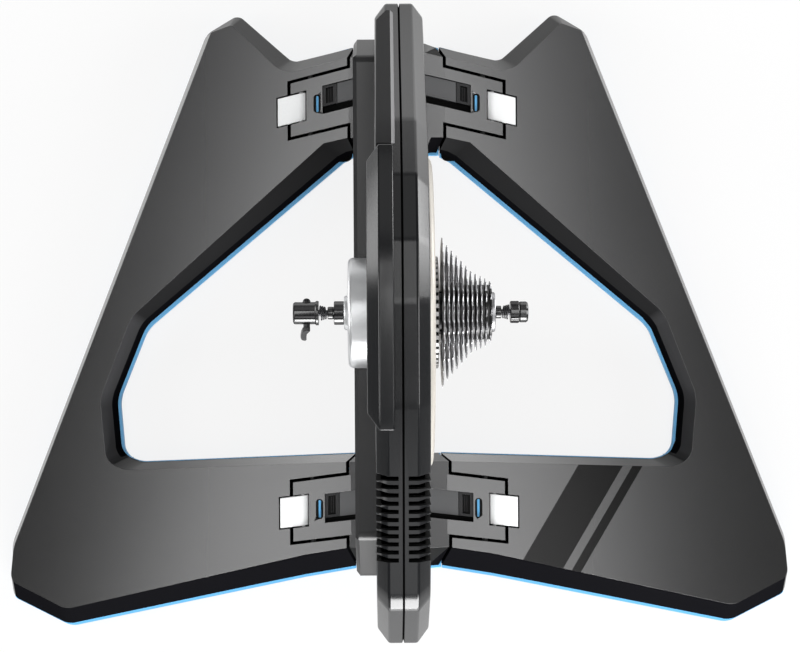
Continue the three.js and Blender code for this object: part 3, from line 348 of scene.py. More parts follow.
cover_blue = moulded("cover_blue", (0.13, 0.49, 0.88), 0.42, relief=0.05, drift=0.03)
# Black for the sheets laid in the deep seams: painted shade where little light reaches.
seam_shade_black = moulded("seam_shade_black", (0.004, 0.004, 0.004), 0.95, grain=500, relief=0.6, gloss=0.1)
pad_spans = {"front": (0.142, 0.252, 21 * mm), "rear": (-0.225, -0.142, 8 * mm)}
sides, ends = (("left", -1), ("right", 1)), ("front", "rear")
arms = [(side, sign, end) for side, sign in sides for end in ends]
for side, sign in sides:
    tray = copied(f"wing_{side}_cover")
    for reach, by_opening in ((tray_corner, False), (opening_corner, True)):
        softened(tray, [
            edge for edge in tray.edges
            if plan_corner(edge) and in_opening(middle(edge)) == by_opening
        ], reach, 5)
    softened(tray, outer_edges(tray, 40, lambda edge: (
        edge.calc_length() > 3 * mm and abs(middle(edge).x) > 42 * mm
    )), 0.9 * mm)
    tray.normal_update()
    for vert in tray.verts:
        flat = Vector((*vert.normal.xy, 0))
        in_view = in_opening(vert.co) or (vert.co.y < -100 * mm and vert.normal.y < 0.2)
        if flat.length > 0.2 and not (in_view and vert.normal.x * sign < 0.6):
            vert.co -= flat.normalized() * tray_inset
    piece(tray, f"{side}_wing_tray", f"wing_{side}", "blue_cover", cover_blue,
          f"wing_{side}_cover")
    # A black sheet under each seam, painted shade for the seam's bottom.
    for end, (low, high, inset) in pad_spans.items():
        pad = slab((sign * pad_reach, (low + high) / 2, pad_height),
                   (pad_width, high - low - inset, pad_thickness))
        softened(pad, [e for e in pad.edges if e.calc_length() < 1 * mm], tray_corner, 4)
        piece(pad, f"{side}_wing_shade_sheet_{end}", f"wing_{side}", "foot_rubber", seam_shade_black)


# Rubber feet. A moulded rubber pad pushed into the tray under each wing, with a chamfered
# rim and rings cut in its sole.
def spun(profile, centre, axis, steps=48):
    """A profile of radius and height pairs in millimetres, turned about an axis and closed."""
    work = bmesh.new()
    along = Vector(axis)
    across = Vector((0, 0, 1)) if abs(along.z) < 0.5 else Vector((1, 0, 0))
    rim = [work.verts.new(Vector(centre) + (across * r + along * h) * mm) for r, h in profile]
    edges = [work.edges.new(pair) for pair in zip(rim, rim[1:] + rim[:1])]
    bmesh.ops.spin(
        work, geom=rim + edges, cent=centre, axis=axis, angle=2 * math.pi,
        steps=steps, use_merge=True,
    )
    bmesh.ops.remove_doubles(work, verts=work.verts, dist=0.004 * mm)
    bmesh.ops.recalc_face_normals(work, faces=work.faces)
    return work


foot_rubber = moulded("foot_rubber", (0.016, 0.016, 0.017), 0.8, grain=700, relief=0.5)
foot_profile = [
    (0, 0), (3, 0), (3.4, 0.9), (4.4, 0.9), (4.8, 0), (7.6, 0), (8, 0.9), (9, 0.9), (9.4, 0),
    (12.6, 0), (14, 1.4), (14, 8.6), (13.4, 9.7), (0, 9.7),
]
for side, sign, end in arms:
    low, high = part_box(f"wing_{side}_foot_{end}")
    centre = (low + high) / 2
    sole = spun(foot_profile, (centre.x, centre.y, 0), (0, 0, 1))
    piece(sole, f"{side}_wing_foot_{end}", f"wing_{side}", "foot_rubber", foot_rubber,
          f"wing_{side}_foot_{end}")

# Wing decks. Hollow castings with a satin charcoal coat: a sloped top with rounded corners
# and a fine rim, flared walls, and a crease cast low along the walls of the opening. Two
# slanted stripes in gloss black run across the rear arm of the right deck.
crease_height, crease_reach, crease_width = 31 * mm, 1.3 * mm, 0.5 * mm
deck_corner, inward_corner, deck_rim, front_rim = 6 * mm, 12 * mm, 0.6 * mm, 1.3 * mm
corner_shifts = (((374.6, -215.1), -1.7), ((183.6, 276.9), 1.0))


def deck_level(x):
    return (72 - 0.086 * max(0, abs(x) / mm - 45)) * mm


def deck_paint(name, colour, roughness, gloss, low=0.4, lacquer=0.0, facing=None):
    """Satin charcoal coat with a fine orange peel, with a painted sheen that makes it paler
    towards the body, and, given a facing range, painted shade by which way a face looks.
    """
    made = Finish(name)
    fine, slow = made.noise(1500.0), made.noise(7.0, 3.0)
    # Painted sheen: the coat is made paler towards the body, as the overhead gloss would light it.
    painted_sheen = abs(made.axis(0)).eased(0.06, 0.36, 1.35, low)
    tone = made.shaded(made.shaded(colour, painted_sheen), slow * 0.1 + 0.95)
    coat = made.wire.node("ShaderNodeMapRange", None, {
        0: abs(made.axis(0)), 1: 0.065, 2: 0.22, 3: lacquer, 4: lacquer * 0.15,
    }) if lacquer else 0.0
    # Painted shade by facing: faces are made darker or lighter by which way they look across the
    # deck.
    if facing:
        flat = made.wire.node("ShaderNodeNewGeometry", out="Normal")
        turned_in = made.axis(0, flat) * made.wire.sum_of("SIGN", made.axis(0)) * -1.0
        shade = turned_in.eased(*facing)
        tone, coat = made.shaded(tone, shade), shade * lacquer
    polish = slow * 0.04 + fine * 0.05 + roughness
    return made.done(tone, polish, fine, 0.06, coat=coat, gloss=gloss)


# The deck's one coat in lit and shaded copies: darker ones for the walls and the faces that look
# ahead, a lighter one for the opening's lining, a pale one that paints a highlight along the rims
# and the crease, and a darker lacquered one for the rear faces that look ahead.
deck_satin = deck_paint("deck_satin", (0.030, 0.030, 0.031), 0.175, 1.0, 0.25)
deck_front_shade = deck_paint(
    "deck_front_shade", (0.014, 0.014, 0.015), 0.36, 0.05, 0.4, 0.22, (0.25, 0.6, 1.0, 0.45))
stripe_black = deck_paint("stripe_black", (0.006, 0.006, 0.006), 0.12, 0.16, 0.9)
deck_lining_lit = deck_paint(
    "deck_lining_lit", (0.045, 0.045, 0.047), 0.5, 0.02, 1.0, 0.0, (0.6, 0.85, 0.25, 1.0))
deck_rim_highlight = moulded("deck_rim_highlight", (0.22, 0.22, 0.225), 0.35, grain=1500, relief=0.05)
deck_sill_shade = deck_paint("deck_sill_shade", (0.022, 0.022, 0.023), 0.4, 0.06, 0.2, 0.8)
deck_wall_shade = moulded("deck_wall_shade", (0.005, 0.005, 0.006), 0.6, grain=1500, relief=0.1, gloss=0.0)
deck_coats = (deck_satin, deck_wall_shade, stripe_black, deck_front_shade, deck_sill_shade, deck_lining_lit, deck_rim_highlight)
stripe_slant, stripe_edges = 0.598, (168.9, 212.2, 221.6, 231.4)


def only(items, kind):
    return [item for item in items if isinstance(item, kind)]


def with_rims(faces):
    """Faces with all their edges and corners."""
    parts = {part for face in faces for part in (*face.edges, *face.verts)}
    return faces + list(parts)


def deck_coat(face, sign):
    """The coat that a deck's face takes from where it lies and which way it looks: the stripes,
    the satin coat, or one of its lit and shaded copies, which paint light and shade by facing.
    """
    spot, (x, y, z) = middle(face) / mm, face.normal
    opened, ahead, at_rear = in_opening(middle(face)), spot.y > 100, spot.y < -100
    slant = spot.x - (spot.y + 140) * stripe_slant
    striped = any(low < slant < high for low, high in zip(stripe_edges[::2], stripe_edges[1::2]))
    if striped and sign > 0 and z > 0.6 and at_rear:
        return stripe_black
    if ahead and not opened and 0.5 < z < 0.985 and y > 0.12:
        return deck_wall_shade
    if opened and 0.66 < z < 0.97 and abs(x) > 0.12 and y <= 0.35 and spot.z > 40:
        return deck_rim_highlight
    if opened and x * sign < -0.1 and 0.15 < z < 0.66 and y < 0.7 and spot.z > 32:
        return deck_lining_lit
    if at_rear and y > 0.7:
        return deck_sill_shade
    if z > 0.6 or x * sign > 0.8:
        return deck_satin
    return deck_front_shade if ahead and y > 0.35 else deck_wall_shade


def on_top(vert):
    return abs(vert.co.z - deck_level(vert.co.x)) < 0.3 * mm


def looks_ahead(edge):
    """Whether an edge bounds one of the walls at the front of a deck."""
    ahead = any(0.35 < face.normal.y and face.normal.z < 0.6 for face in edge.link_faces)
    return ahead and middle(edge).y > 100 * mm and not in_opening(middle(edge))


for side, sign in sides:
    deck = copied(f"wing_{side}_shell")
    outward_line = Vector((sign * 0.932, 0.362, 0))
    for (x, y), shift in corner_shifts:
        foot = Vector((sign * x * mm, y * mm, 50 * mm))
        corner = min((v for v in deck.verts if on_top(v)), key=lambda v: (v.co - foot).xy.length)
        corner.co += outward_line * shift * mm
        corner.co.z = deck_level(corner.co.x)
    flared = [
        edge for edge in deck.edges
        if edge.is_manifold and edge.calc_length() > 25 * mm and abs(bend(edge)) < 10
        and any(on_top(v) for v in edge.verts)
        and any(abs(v.co.z - 16.3 * mm) < 0.2 * mm for v in edge.verts)
    ]
    bmesh.ops.dissolve_edges(deck, edges=flared, use_verts=False)
    corners = [e for e in deck.edges if plan_corner(e) and any(on_top(v) for v in e.verts)]
    opened = [edge for edge in corners if in_opening(middle(edge))]
    hollow = [edge for edge in corners if edge not in opened and bend(edge) < 0]
    full = [edge for edge in corners if edge not in opened + hollow]
    sharper = [
        (pick(edge.verts, key=lambda vert: vert.co.z).co.copy(), share)
        for edges, pick, share in ((full, max, 0.7), (hollow, min, 0.5)) for edge in edges
    ]
    softened(deck, opened, opening_corner, 5)
    softened(deck, hollow, inward_corner, 6)
    softened(deck, full, deck_corner, 5)
    for vert in deck.verts:
        for corner, share in sharper:
            off = corner - vert.co
            if abs(off.z) < 2 * mm and off.length < 9 * mm and vert.co.y > 100 * mm:
                vert.co += Vector((*off.xy, 0)) * share
    deck.normal_update()
    opening = Vector((sign * 150 * mm, -20 * mm, 0))
    lining = [
        face for face in deck.faces
        if abs(face.normal.z) < 0.5 and middle(face).y > -132 * mm and in_opening(middle(face))
        and face.normal.dot(opening - middle(face)) > 0
        and abs(face.normal.x) + abs(face.normal.z) > 0.35
        and min(v.co.z for v in face.verts) < 17 * mm and any(on_top(v) for v in face.verts)
        and abs(middle(face).x) > 46 * mm
    ]
    cut = bmesh.ops.bisect_plane(
        deck, geom=with_rims(lining), plane_co=(0, 0, crease_height), plane_no=(0, 0, 1),
    )["geom_cut"]
    deck.normal_update()
    for vert in only(cut, bmesh.types.BMVert):
        flat = Vector((*vert.normal.xy, 0))
        vert.co += flat.normalized() * crease_reach
    softened(deck, only(cut, bmesh.types.BMEdge), crease_width)
    rim = outer_edges(deck, 35, lambda edge: all(on_top(v) for v in edge.verts))
    ahead_rim = [edge for edge in rim if looks_ahead(edge)]
    softened(deck, [edge for edge in rim if edge not in ahead_rim], deck_rim)
    softened(deck, ahead_rim, front_rim)
    deck.normal_update()
    for reach in stripe_edges if side == "right" else ():
        tops = [face for face in deck.faces
                if face.normal.z > 0.6 and min(v.co.y for v in face.verts) < -0.1]
        bmesh.ops.bisect_plane(
            deck, geom=with_rims(tops), plane_co=(reach * mm, -140 * mm, 0),
            plane_no=(1, -stripe_slant, 0),
        )
    deck.normal_update()
    for face in deck.faces:
        face.material_index = deck_coats.index(deck_coat(face, sign))
    piece(deck, f"{side}_wing_deck", f"wing_{side}", "charcoal_deck", deck_coats,
          f"wing_{side}_shell")

# Middle blocks. Castings across the frame, coated as the decks are, whose tongues reach
# out to the hinge pins between the fork arms of the wings. Sunk in each tongue are a well
# for the key, a round-ended slot for the lock mark and a track for the slide.
track_inner, track_slant = 12 * mm, {"front": 0.235, "rear": 0.118}
slot_reaches, well_reach, well_shown = (71.3, 78.1), 84.2, 84.75
recess_shade_black = moulded("recess_shade_black", (0.003, 0.003, 0.003), 0.7, grain=600, gloss=0.1)


def stands_at(spot, reach, slack=0.05):
    """Whether a place is this far out from the middle line, in millimetres."""
    return abs(abs(spot.x) - reach * mm) < slack * mm


for end in ends:
    block = copied(f"hinge_block_{end}")

    def slot_corner(edge):
        x, y, z = run(edge)
        at_slot = any(stands_at(middle(edge), reach) for reach in slot_reaches)
        return at_slot and abs(z) > 3 * mm and abs(x) + abs(y) < 0.2 * mm

    softened(block, [e for e in block.edges if slot_corner(e)], 3.2 * mm, 5)
    for vert in block.verts:
        if stands_at(vert.co, well_reach) and vert.co.z > 54 * mm:
            vert.co.x *= well_shown / well_reach
        if stands_at(vert.co, 24) and vert.co.z > 60 * mm:
            vert.co.x *= track_inner / (24 * mm)
            vert.co.y += (24 * mm - track_inner) * track_slant[end]
    softened(block, outer_edges(block, 35, lambda edge: (
        edge.calc_length() > 4 * mm
        and all(v.co.z > deck_level(v.co.x) - 0.6 * mm for v in edge.verts)
    )), 0.5 * mm)
    block.normal_update()
    # Sunk faces are painted black as the shade in the wells, slots and tracks; the walls take the
    # deck's shaded wall coat and the faces looking ahead its shaded front coat.
    for face in block.faces:
        spot = middle(face)
        sunk = spot.z < deck_level(spot.x) - 2.2 * mm and spot.z > 50 * mm
        ahead = face.normal.y > 0.35 and abs(spot.x) < 100 * mm
        face.material_index = 2 if sunk else (0 if face.normal.z > 0.6 else (3 if ahead else 1))
    piece(block, f"middle_block_{end}", "base", "charcoal_deck",
          (deck_satin, deck_wall_shade, recess_shade_black, deck_front_shade), f"hinge_block_{end}")

# Blue covers under the middle blocks. Moulded plastic like the trays, each with a round
# foot of its own under the body. A black strip stands in each seam beside a tray as painted shade.
shade_strip_reach, shade_strip_height, shade_strip_sides, shade_strip_short = 41 * mm, 13 * mm, (0.7 * mm, 5 * mm), 10.4 * mm
for end in ends:
    sill = copied(f"base_cover_{end}")
    softened(sill, outer_edges(sill, 40, lambda edge: (
        edge.calc_length() > 2 * mm and abs(middle(edge).x) < 40 * mm
    )), 0.7 * mm)
    piece(sill, f"middle_cover_{end}", "base", "blue_cover", cover_blue, f"base_cover_{end}")
    low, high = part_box(f"base_cover_{end}")
    for side, sign in sides:
        shade_strip = slab((sign * shade_strip_reach, (low.y + high.y) / 2, shade_strip_height),
                    (shade_strip_sides[0], high.y - low.y - shade_strip_short, shade_strip_sides[1]))
        softened(shade_strip, outer_edges(shade_strip, 60), 0.15 * mm, 1)
        piece(shade_strip, f"{side}_seam_shade_strip_{end}", "base", "foot_rubber", seam_shade_black)

# Spine. A folded and welded steel channel that joins the two blocks and carries the
# body, with a powder coat.
spine_black = moulded("spine_powder", (0.020, 0.021, 0.023), 0.5, grain=1300, relief=0.3)
spine = copied("base_spine")
softened(spine, outer_edges(spine, 40), 2.5 * mm, 3)
piece(spine, "spine_channel", "base", "black_frame", spine_black, "base_spine")

# Hinge pins. Turned steel pressed through the fork arms, with chamfered ends, painted near black
# as the shade of the seams they cross.
# Their finish has fine rings about the line of the axle, as all the turned parts have.
axle_line = Vector((0, 3.5 * mm, 340 * mm))


def turned_metal(name, colour, roughness, metallic=1.0, rings=5200.0, drift=0.06, gloss=0.5):
    """Metal turned in a lathe: fine rings about the axle line."""
    made = Finish(name)
    centred = made.wire.node(
        "ShaderNodeMapping", None, {"Vector": made.spot, "Location": -axle_line},
    )
    y, z = made.axis(1, centred), made.axis(2, centred)
    radius = made.wire.sum_of("SQRT", y * y + z * z)
    ring = made.noise(1.0, 3.0, "1D", W=radius * rings)
    tone = made.shaded(colour, ring * (2 * drift) + (1 - drift))
    return made.done(tone, ring * 0.16 + (roughness - 0.08), ring, 0.08, metallic, gloss=gloss)


steel = turned_metal("steel_plated", (0.50, 0.51, 0.52), 0.26)
pin_shade_black = turned_metal("pin_shade_black", (0.008, 0.008, 0.008), 0.6, 0.2)


def pin_between(low, high, x, z, radius, chamfer, steps):
    """A pin along the frame with chamfered ends, as long as its node."""
    length, tip = (high.y - low.y) / mm, radius - chamfer
    profile = [(0, 0), (tip, 0), (radius, chamfer), (radius, length - chamfer), (tip, length)]
    return spun(profile + [(0, length)], (x, low.y, z), (0, 1, 0), steps)


for side, sign, end in arms:
    low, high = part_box(f"wing_{side}_pin_{end}")
    pin = pin_between(low, high, (low.x + high.x) / 2, (low.z + high.z) / 2, 2.5, 0.6, 32)
    piece(pin, f"{side}_hinge_pin_{end}", f"wing_{side}", "steel", pin_shade_black,
          f"wing_{side}_pin_{end}")


# Release keys. Bright moulded plastic, each turning on two trunnions in its well; the
# barrel rolls down into the block and the plate reaches over the wing to hook its fork.
def thickened(work, along):
    """Makes flat faces solid, along a vector in millimetres."""
    far = bmesh.ops.extrude_face_region(work, geom=work.faces[:], use_keep_orig=True)["geom"]
    bmesh.ops.translate(work, verts=only(far, bmesh.types.BMVert), vec=Vector(along) * mm)


def drawn_out(outline, along):
    """A flat outline in millimetres, extruded along a vector into a closed solid."""
    work = bmesh.new()
    work.faces.new([work.verts.new(Vector(point) * mm) for point in outline])
    thickened(work, along)
    bmesh.ops.recalc_face_normals(work, faces=work.faces)
    return work


def gathered(first, *others):
    """Several closed forms of one piece, in one mesh."""
    for other in others:
        held = bpy.data.meshes.new("held")
        other.to_mesh(held)
        other.free()
        first.from_mesh(held)
        bpy.data.meshes.remove(held)
    return first


key_white = moulded("key_white", (0.91, 0.92, 0.92), 0.28, grain=1300, relief=0.03, drift=0.02)
key_axis, key_tip, key_barrel = (90, 62.53), 112, 5
key_spans = {"front": (181.2, 207.4), "rear": (-196.8, -168.4)}
barrel_arc = [math.radians(180 + 15 * step) for step in range(7)]
key_profile = [
    (92.6, 67.3), (86.2, 65.5), (85.3, 64.3),
    *((key_axis[0] + key_barrel * math.cos(turn), key_axis[1] + key_barrel * math.sin(turn))
      for turn in barrel_arc),
    (93, 58.9), (95, 63.9), (109, 62.7), (109, 59), (109.6, 58.5), (key_tip, 58.5),
    (key_tip, 65.9),
]
for side, sign, end in arms:
    (rear, front), (low, high) = key_spans[end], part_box(f"key_{side}_{end}")
    key = drawn_out([(sign * x, rear, z) for x, z in key_profile], (0, front - rear, 0))
    slanted = Matrix.Identity(4)
    slanted[1][0] = -sign * track_slant[end]
    bmesh.ops.transform(key, verts=key.verts, matrix=slanted,
                        space=Matrix.Translation((-sign * key_tip * mm, 0, 0)))
    softened(key, outer_edges(key, 40), 0.6 * mm, 3)
    trunnions = pin_between(low, high, sign * key_axis[0] * mm, key_axis[1] * mm, 1.8, 0.3, 24)
    piece(gathered(key, trunnions), f"{side}_release_key_{end}", f"key_{side}_{end}",
          "bright_key", key_white, f"key_{side}_{end}")

# Lock marks. A round-ended pad at the bottom of each slot, whose blue inner half stands
# up when the wing is locked; its outer half is painted black as the shade of the slot.
slot_shade_black = moulded("slot_shade_black", (0.004, 0.004, 0.004), 0.5, gloss=0.2)
mark_pads = (((71.6, 77.8), 0.0, 1.2, 1), ((73.4, 75.7), 1.4, 2.5, 0))
for side, sign, end in arms:
    low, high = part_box(f"lock_indicator_{side}_{end}")
    pads = []
    for (inner, outer), shorter, height, coat in mark_pads:
        pad = slab(
            (sign * (inner + outer) / 2 * mm, (low.y + high.y) / 2, low.z + height / 2 * mm),
            ((outer - inner) * mm, high.y - low.y - shorter * mm, height * mm),
        )
        upright = [edge for edge in pad.edges if abs(run(edge).z) > mm]
        softened(pad, upright, (outer - inner) / 2.1 * mm, 6)
        softened(pad, outer_edges(pad, 60), 0.3 * mm)
        coated(pad.faces, coat)
        pads.append(pad)
    piece(gathered(*pads), f"{side}_lock_mark_{end}", "base", "blue_cover",
          (cover_blue, slot_shade_black), f"lock_indicator_{side}_{end}")

# Lock slides. Grey moulded bars in their tracks, each with a sunk dark grip at its tip
# that a fingertip pushes along, painted black in its hollows as shade.
slide_inner, grip_lines, rib_shares = 20.5 * mm, (55.7, 56.5), (0.28, 0.62)
slide_grey = moulded("slide_grey", (0.080, 0.081, 0.084), 0.4, grain=1400, relief=0.1)
grip_dark = moulded("grip_dark", (0.018, 0.018, 0.019), 0.4, grain=1400, relief=0.1, gloss=0.3)
slide_coats = (slide_grey, slot_shade_black, grip_dark)


def slide_coat(face, top):
    """Grey along the bar, black where it is sunk as painted shade, dark at its tip."""
    spot, up = middle(face), face.normal.z
    sunk = spot.z < top - 1.2 * mm and up > -0.3 and 58.5 * mm < abs(spot.x) < 67.5 * mm
    if sunk or (up > 0.9 and top - 0.8 * mm < spot.z < top - 0.3 * mm):
        return slot_shade_black
    return grip_dark if abs(spot.x) > 57.2 * mm and up > 0.5 else slide_grey


for side, sign, end in arms:
    bar = copied(f"lock_slide_{side}_{end}")
    low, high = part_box(f"lock_slide_{side}_{end}")
    for vert in bar.verts:
        if stands_at(vert.co, 32):
            vert.co.x *= slide_inner / (32 * mm)
            vert.co.y += (32 * mm - slide_inner) * track_slant[end]
    grips = [f for f in bar.faces if f.normal.z > 0.9 and middle(f).z < high.z - 1 * mm]
    bmesh.ops.inset_region(bar, faces=grips, thickness=0.7 * mm, depth=-1.2 * mm)
    for line in grip_lines:
        bmesh.ops.bisect_plane(
            bar, geom=with_rims(bar.faces[:]), plane_co=(sign * line * mm, 0, 0),
            plane_no=(1, 0, 0),
        )
    grooves = [f for f in bar.faces
               if f.normal.z > 0.9 and stands_at(middle(f), sum(grip_lines) / 2, 0.3)]
    bmesh.ops.inset_region(bar, faces=grooves, thickness=0.02 * mm, depth=-0.6 * mm)
    softened(bar, outer_edges(bar, 50, lambda e: middle(e).z > high.z - 0.2 * mm), 0.45 * mm)
    for face in bar.faces:
        face.material_index = slide_coats.index(slide_coat(face, high.z))
    floor = max((f for f in bar.faces if f.normal.z > 0.9 and f.material_index == 1
                 and abs(middle(f).x) > 58 * mm), key=lambda f: f.calc_area())
    xs, ys, (level, *_) = zip(*((abs(v.co.x), v.co.y, v.co.z) for v in floor.verts))
    near, far, back, front = min(xs), max(xs), min(ys), max(ys)
    for share in rib_shares:
        rib = slab(
            (sign * (near + (far - near) * share), (back + front) / 2, level + 0.5 * mm),
            (0.9 * mm, (front - back) * 0.86, 1.2 * mm),
        )
        softened(rib, outer_edges(rib, 60), 0.2 * mm, 1)
        coated(rib.faces, slide_coats.index(grip_dark))
        bar = gathered(bar, rib)
    piece(bar, f"{side}_lock_slide_{end}", f"slide_{side}_{end}", "slide_plastic", slide_coats,
          f"lock_slide_{side}_{end}")

# Body. Two deep moulded halves that meet in a seam along the crown; the halves'
# edges are broad flats with a soft radius, and eleven vents are cut across the rear slope.
# The seam's groove and the vents' walls are painted black as shade.
vent_first, vent_pitch, vent_width, vent_count = -109 * mm, 5.8 * mm, 3 * mm, 11
crown_half, body_half = 10.5, 18.9
body_plastic = moulded("body_plastic", (0.008, 0.0085, 0.0095), 0.21, grain=1100, relief=0.08)


def vent_side(vert):
    """1 at the front edge of a vent, -1 at its rear edge, 0 elsewhere."""
    if vert.co.z > 0.4 and abs(vert.co.x) > 2.5 * mm:
        for step in range(vent_count):
            behind = vent_first - step * vent_pitch - vert.co.y
            if abs(behind) < 0.02 * mm:
                return 1
            if abs(behind - vent_width) < 0.02 * mm:
                return -1
    return 0


def in_vents(spot, front=-100, rear=-178):
    return spot.z > 0.4 and rear * mm < spot.y < front * mm


def along_body(edge):
    """An edge between the crown, a slanted flat and a side of the body."""
    on_line = any(all(stands_at(vert.co, line, 0.1) for vert in edge.verts)
                  for line in (crown_half, body_half))
    return on_line and not in_vents(middle(edge))


def across_body(edge):
    """A short edge that runs across the rim from one line to the next."""
    near, far = sorted(abs(vert.co.x) / mm for vert in edge.verts)
    on_rim = 0.7 < near and far < body_half + 0.1
    short = edge.calc_length() < 16 * mm and abs(run(edge).x) > 5 * mm
    return short and on_rim and not in_vents(middle(edge), rear=-184)


for side, sign in sides:
    shell = copied(f"housing_{side}")
    vent_lips = outer_edges(shell, 30, lambda edge: (
        all(vent_side(vert) == 1 for vert in edge.verts) and middle(edge).z > 0.48
    ))
    for vert in shell.verts:
        if abs(vert.co.x) < 0.25 * mm:
            vert.co.x = sign * 0.02 * mm
        way = vent_side(vert)
        lean = (abs(vert.co.x) / mm - crown_half) / (body_half - crown_half)
        if way and lean > 0.01:
            vert.co.y += lean * (1.7 * mm if way == 1 else -0.2 * mm)
    softened(shell, vent_lips, 0.55 * mm, 1)
    softened(shell, outer_edges(shell, 6, across_body), 3.2 * mm, 3)
    softened(shell, outer_edges(shell, 20, along_body), 1.3 * mm, 3)
    shell.normal_update()
    # Painted shade: the seam's groove and the vents' walls are black.
    for face in shell.faces:
        in_seam = all(abs(v.co.x) < 0.86 * mm for v in face.verts)
        in_vent = in_vents(middle(face), front=-105) and abs(face.normal.y) > 0.95
        face.material_index = 1 if in_seam or in_vent or face.normal.x * sign < -0.9 else 0
    piece(shell, f"{side}_body_half", "base", "housing", (body_plastic, recess_shade_black),
          f"housing_{side}", smooth=24)

# A black sheet behind the vents, painted shade so that the body's inside does not show through
# them.
vent_screen = [(-0.5, -100, 521.5), (-0.5, -183, 495.5), (-0.5, -183, 470), (-0.5, -100, 470)]
piece(drawn_out(vent_screen, (1, 0, 0)), "vent_screen", "base", "housing", recess_shade_black)

# Cover panel at the body's front. A separate matte moulding let into the left half, with
# a broad chamfer on the side towards the seam and a cut front corner.
panel_plastic = moulded(
    "panel_plastic", (0.013, 0.013, 0.014), 0.6, grain=1500, relief=0.3, gloss=0.25)
panel_line = [
    (238.2, 354.5), (140.9, 483.7), (119.7, 503.3), (111.2, 494.2), (131.6, 475.3), (228.2, 347)]
panel_inner, panel_outer = 4.5, 17.7
panel = drawn_out([(-panel_inner, y, z) for y, z in panel_line], (panel_inner - panel_outer, 0, 0))
bmesh.ops.bisect_plane(
    panel, geom=with_rims(panel.faces[:]), plane_co=(-10 * mm, 238.2 * mm, 0.35),
    plane_no=(-0.79, 0.615, 0), clear_outer=True,
)
bmesh.ops.holes_fill(panel, edges=panel.edges, sides=0)


def panel_edges(reach):
    """The panel's outer edges this far from the middle line, in millimetres."""
    return [edge for edge in panel.edges if all(
        vert.co.y * 0.75 + vert.co.z * 0.66 > 400.6 * mm and stands_at(vert.co, reach, 0.1)
        for vert in edge.verts
    )]


softened(panel, panel_edges(panel_inner), 2.4 * mm, 1)
softened(panel, panel_edges(panel_outer), 0.8 * mm)
panel.normal_update()
# The chamfer towards the seam takes the deck's pale rim coat, a painted highlight.
coated([face for face in panel.faces if 0.3 < face.normal.x < 0.95], 1)
piece(panel, "left_front_panel", "base", "housing", (panel_plastic, deck_rim_highlight))

# Motor cover. A deep moulded lid on the left side with a broad chamfer all round, notched
# round the axle boss and held by countersunk screws along its rim.
cover_plastic = moulded("cover_plastic", (0.012, 0.012, 0.013), 0.32, grain=1300, relief=0.15)
cover_face, cover_inset = 38.3, 2 * mm
cover = copied("motor_cover_left")
for vert in cover.verts:
    if stands_at(vert.co, cover_face, 0.1):
        vert.co.x += cover_inset
        if vert.co.z > 332.5 * mm:
            vert.co.z += 3.8 * mm
            if abs(vert.co.y) > 100 * mm:
                vert.co.y += math.copysign(2.4 * mm, vert.co.y)
softened(cover, outer_edges(cover, 15, lambda e: (
    abs(run(e).x) > 8 * mm and abs(middle(e).y) > 100 * mm
)), 5 * mm, 4)
softened(cover, outer_edges(cover, 24, lambda e: abs(middle(e).x) > 20 * mm), 1.0 * mm, 3)
piece(cover, "left_motor_cover", "base", "housing", cover_plastic, "motor_cover_left", smooth=24)
screw_places = [
    (188, 320), (112, 321), (-105, 321), (-160, 321), (201, 236), (141, 143), (10, 137),
    (-119, 133), (-181, 214),
]
screw_profile = [
    (0, -37.4), (1.5, -37.4), (1.7, -38.1), (1.9, -38.5), (3.1, -38.5), (3.6, -38.2),
    (3.6, -37.2), (0, -37.2),
]
screws = gathered(*(
    spun(screw_profile, (cover_inset, y * mm, z * mm), (1, 0, 0), 24) for y, z in screw_places
))
screw_black = turned_metal("screw_black", (0.03, 0.03, 0.03), 0.3, 0.6, 6000)
piece(screws, "left_motor_cover_screws", "base", "black_metal", screw_black)

# Shield. A short moulded saddle over the left half above the axle, whose slanted flank
# catches the light beside its dark top.
shield = copied("shield_left")
softened(shield, outer_edges(shield, 24, lambda e: middle(e).z > 0.36), 0.9 * mm, 3)
piece(shield, "left_shield", "base", "housing", body_plastic, "shield_left", smooth=24)

# Power socket. A small moulded connector low on the left side, with a round bore.
socket = copied("power_socket")
softened(socket, outer_edges(socket, 60, lambda e: e.calc_length() > 6 * mm), 0.8 * mm)
piece(socket, "mains_socket", "base", "black_plastic", spine_black, "power_socket")

# Axle parts. The silver boss is turned from aluminium and polished; the hollow steel axle
# runs through it, with a black drop-out collar on the left and an end cap on the right.
boss_silver = turned_metal("boss_silver", (0.74, 0.75, 0.76), 0.34, 0.6)
skewer_black = turned_metal("skewer_black", (0.010, 0.010, 0.011), 0.17, 0.1, 6000, gloss=1.0)


def on_axle(profile, steps=64):
    """A profile of radius and place along the axle line, turned about that line."""
    return spun(profile, axle_line, (1, 0, 0), steps)


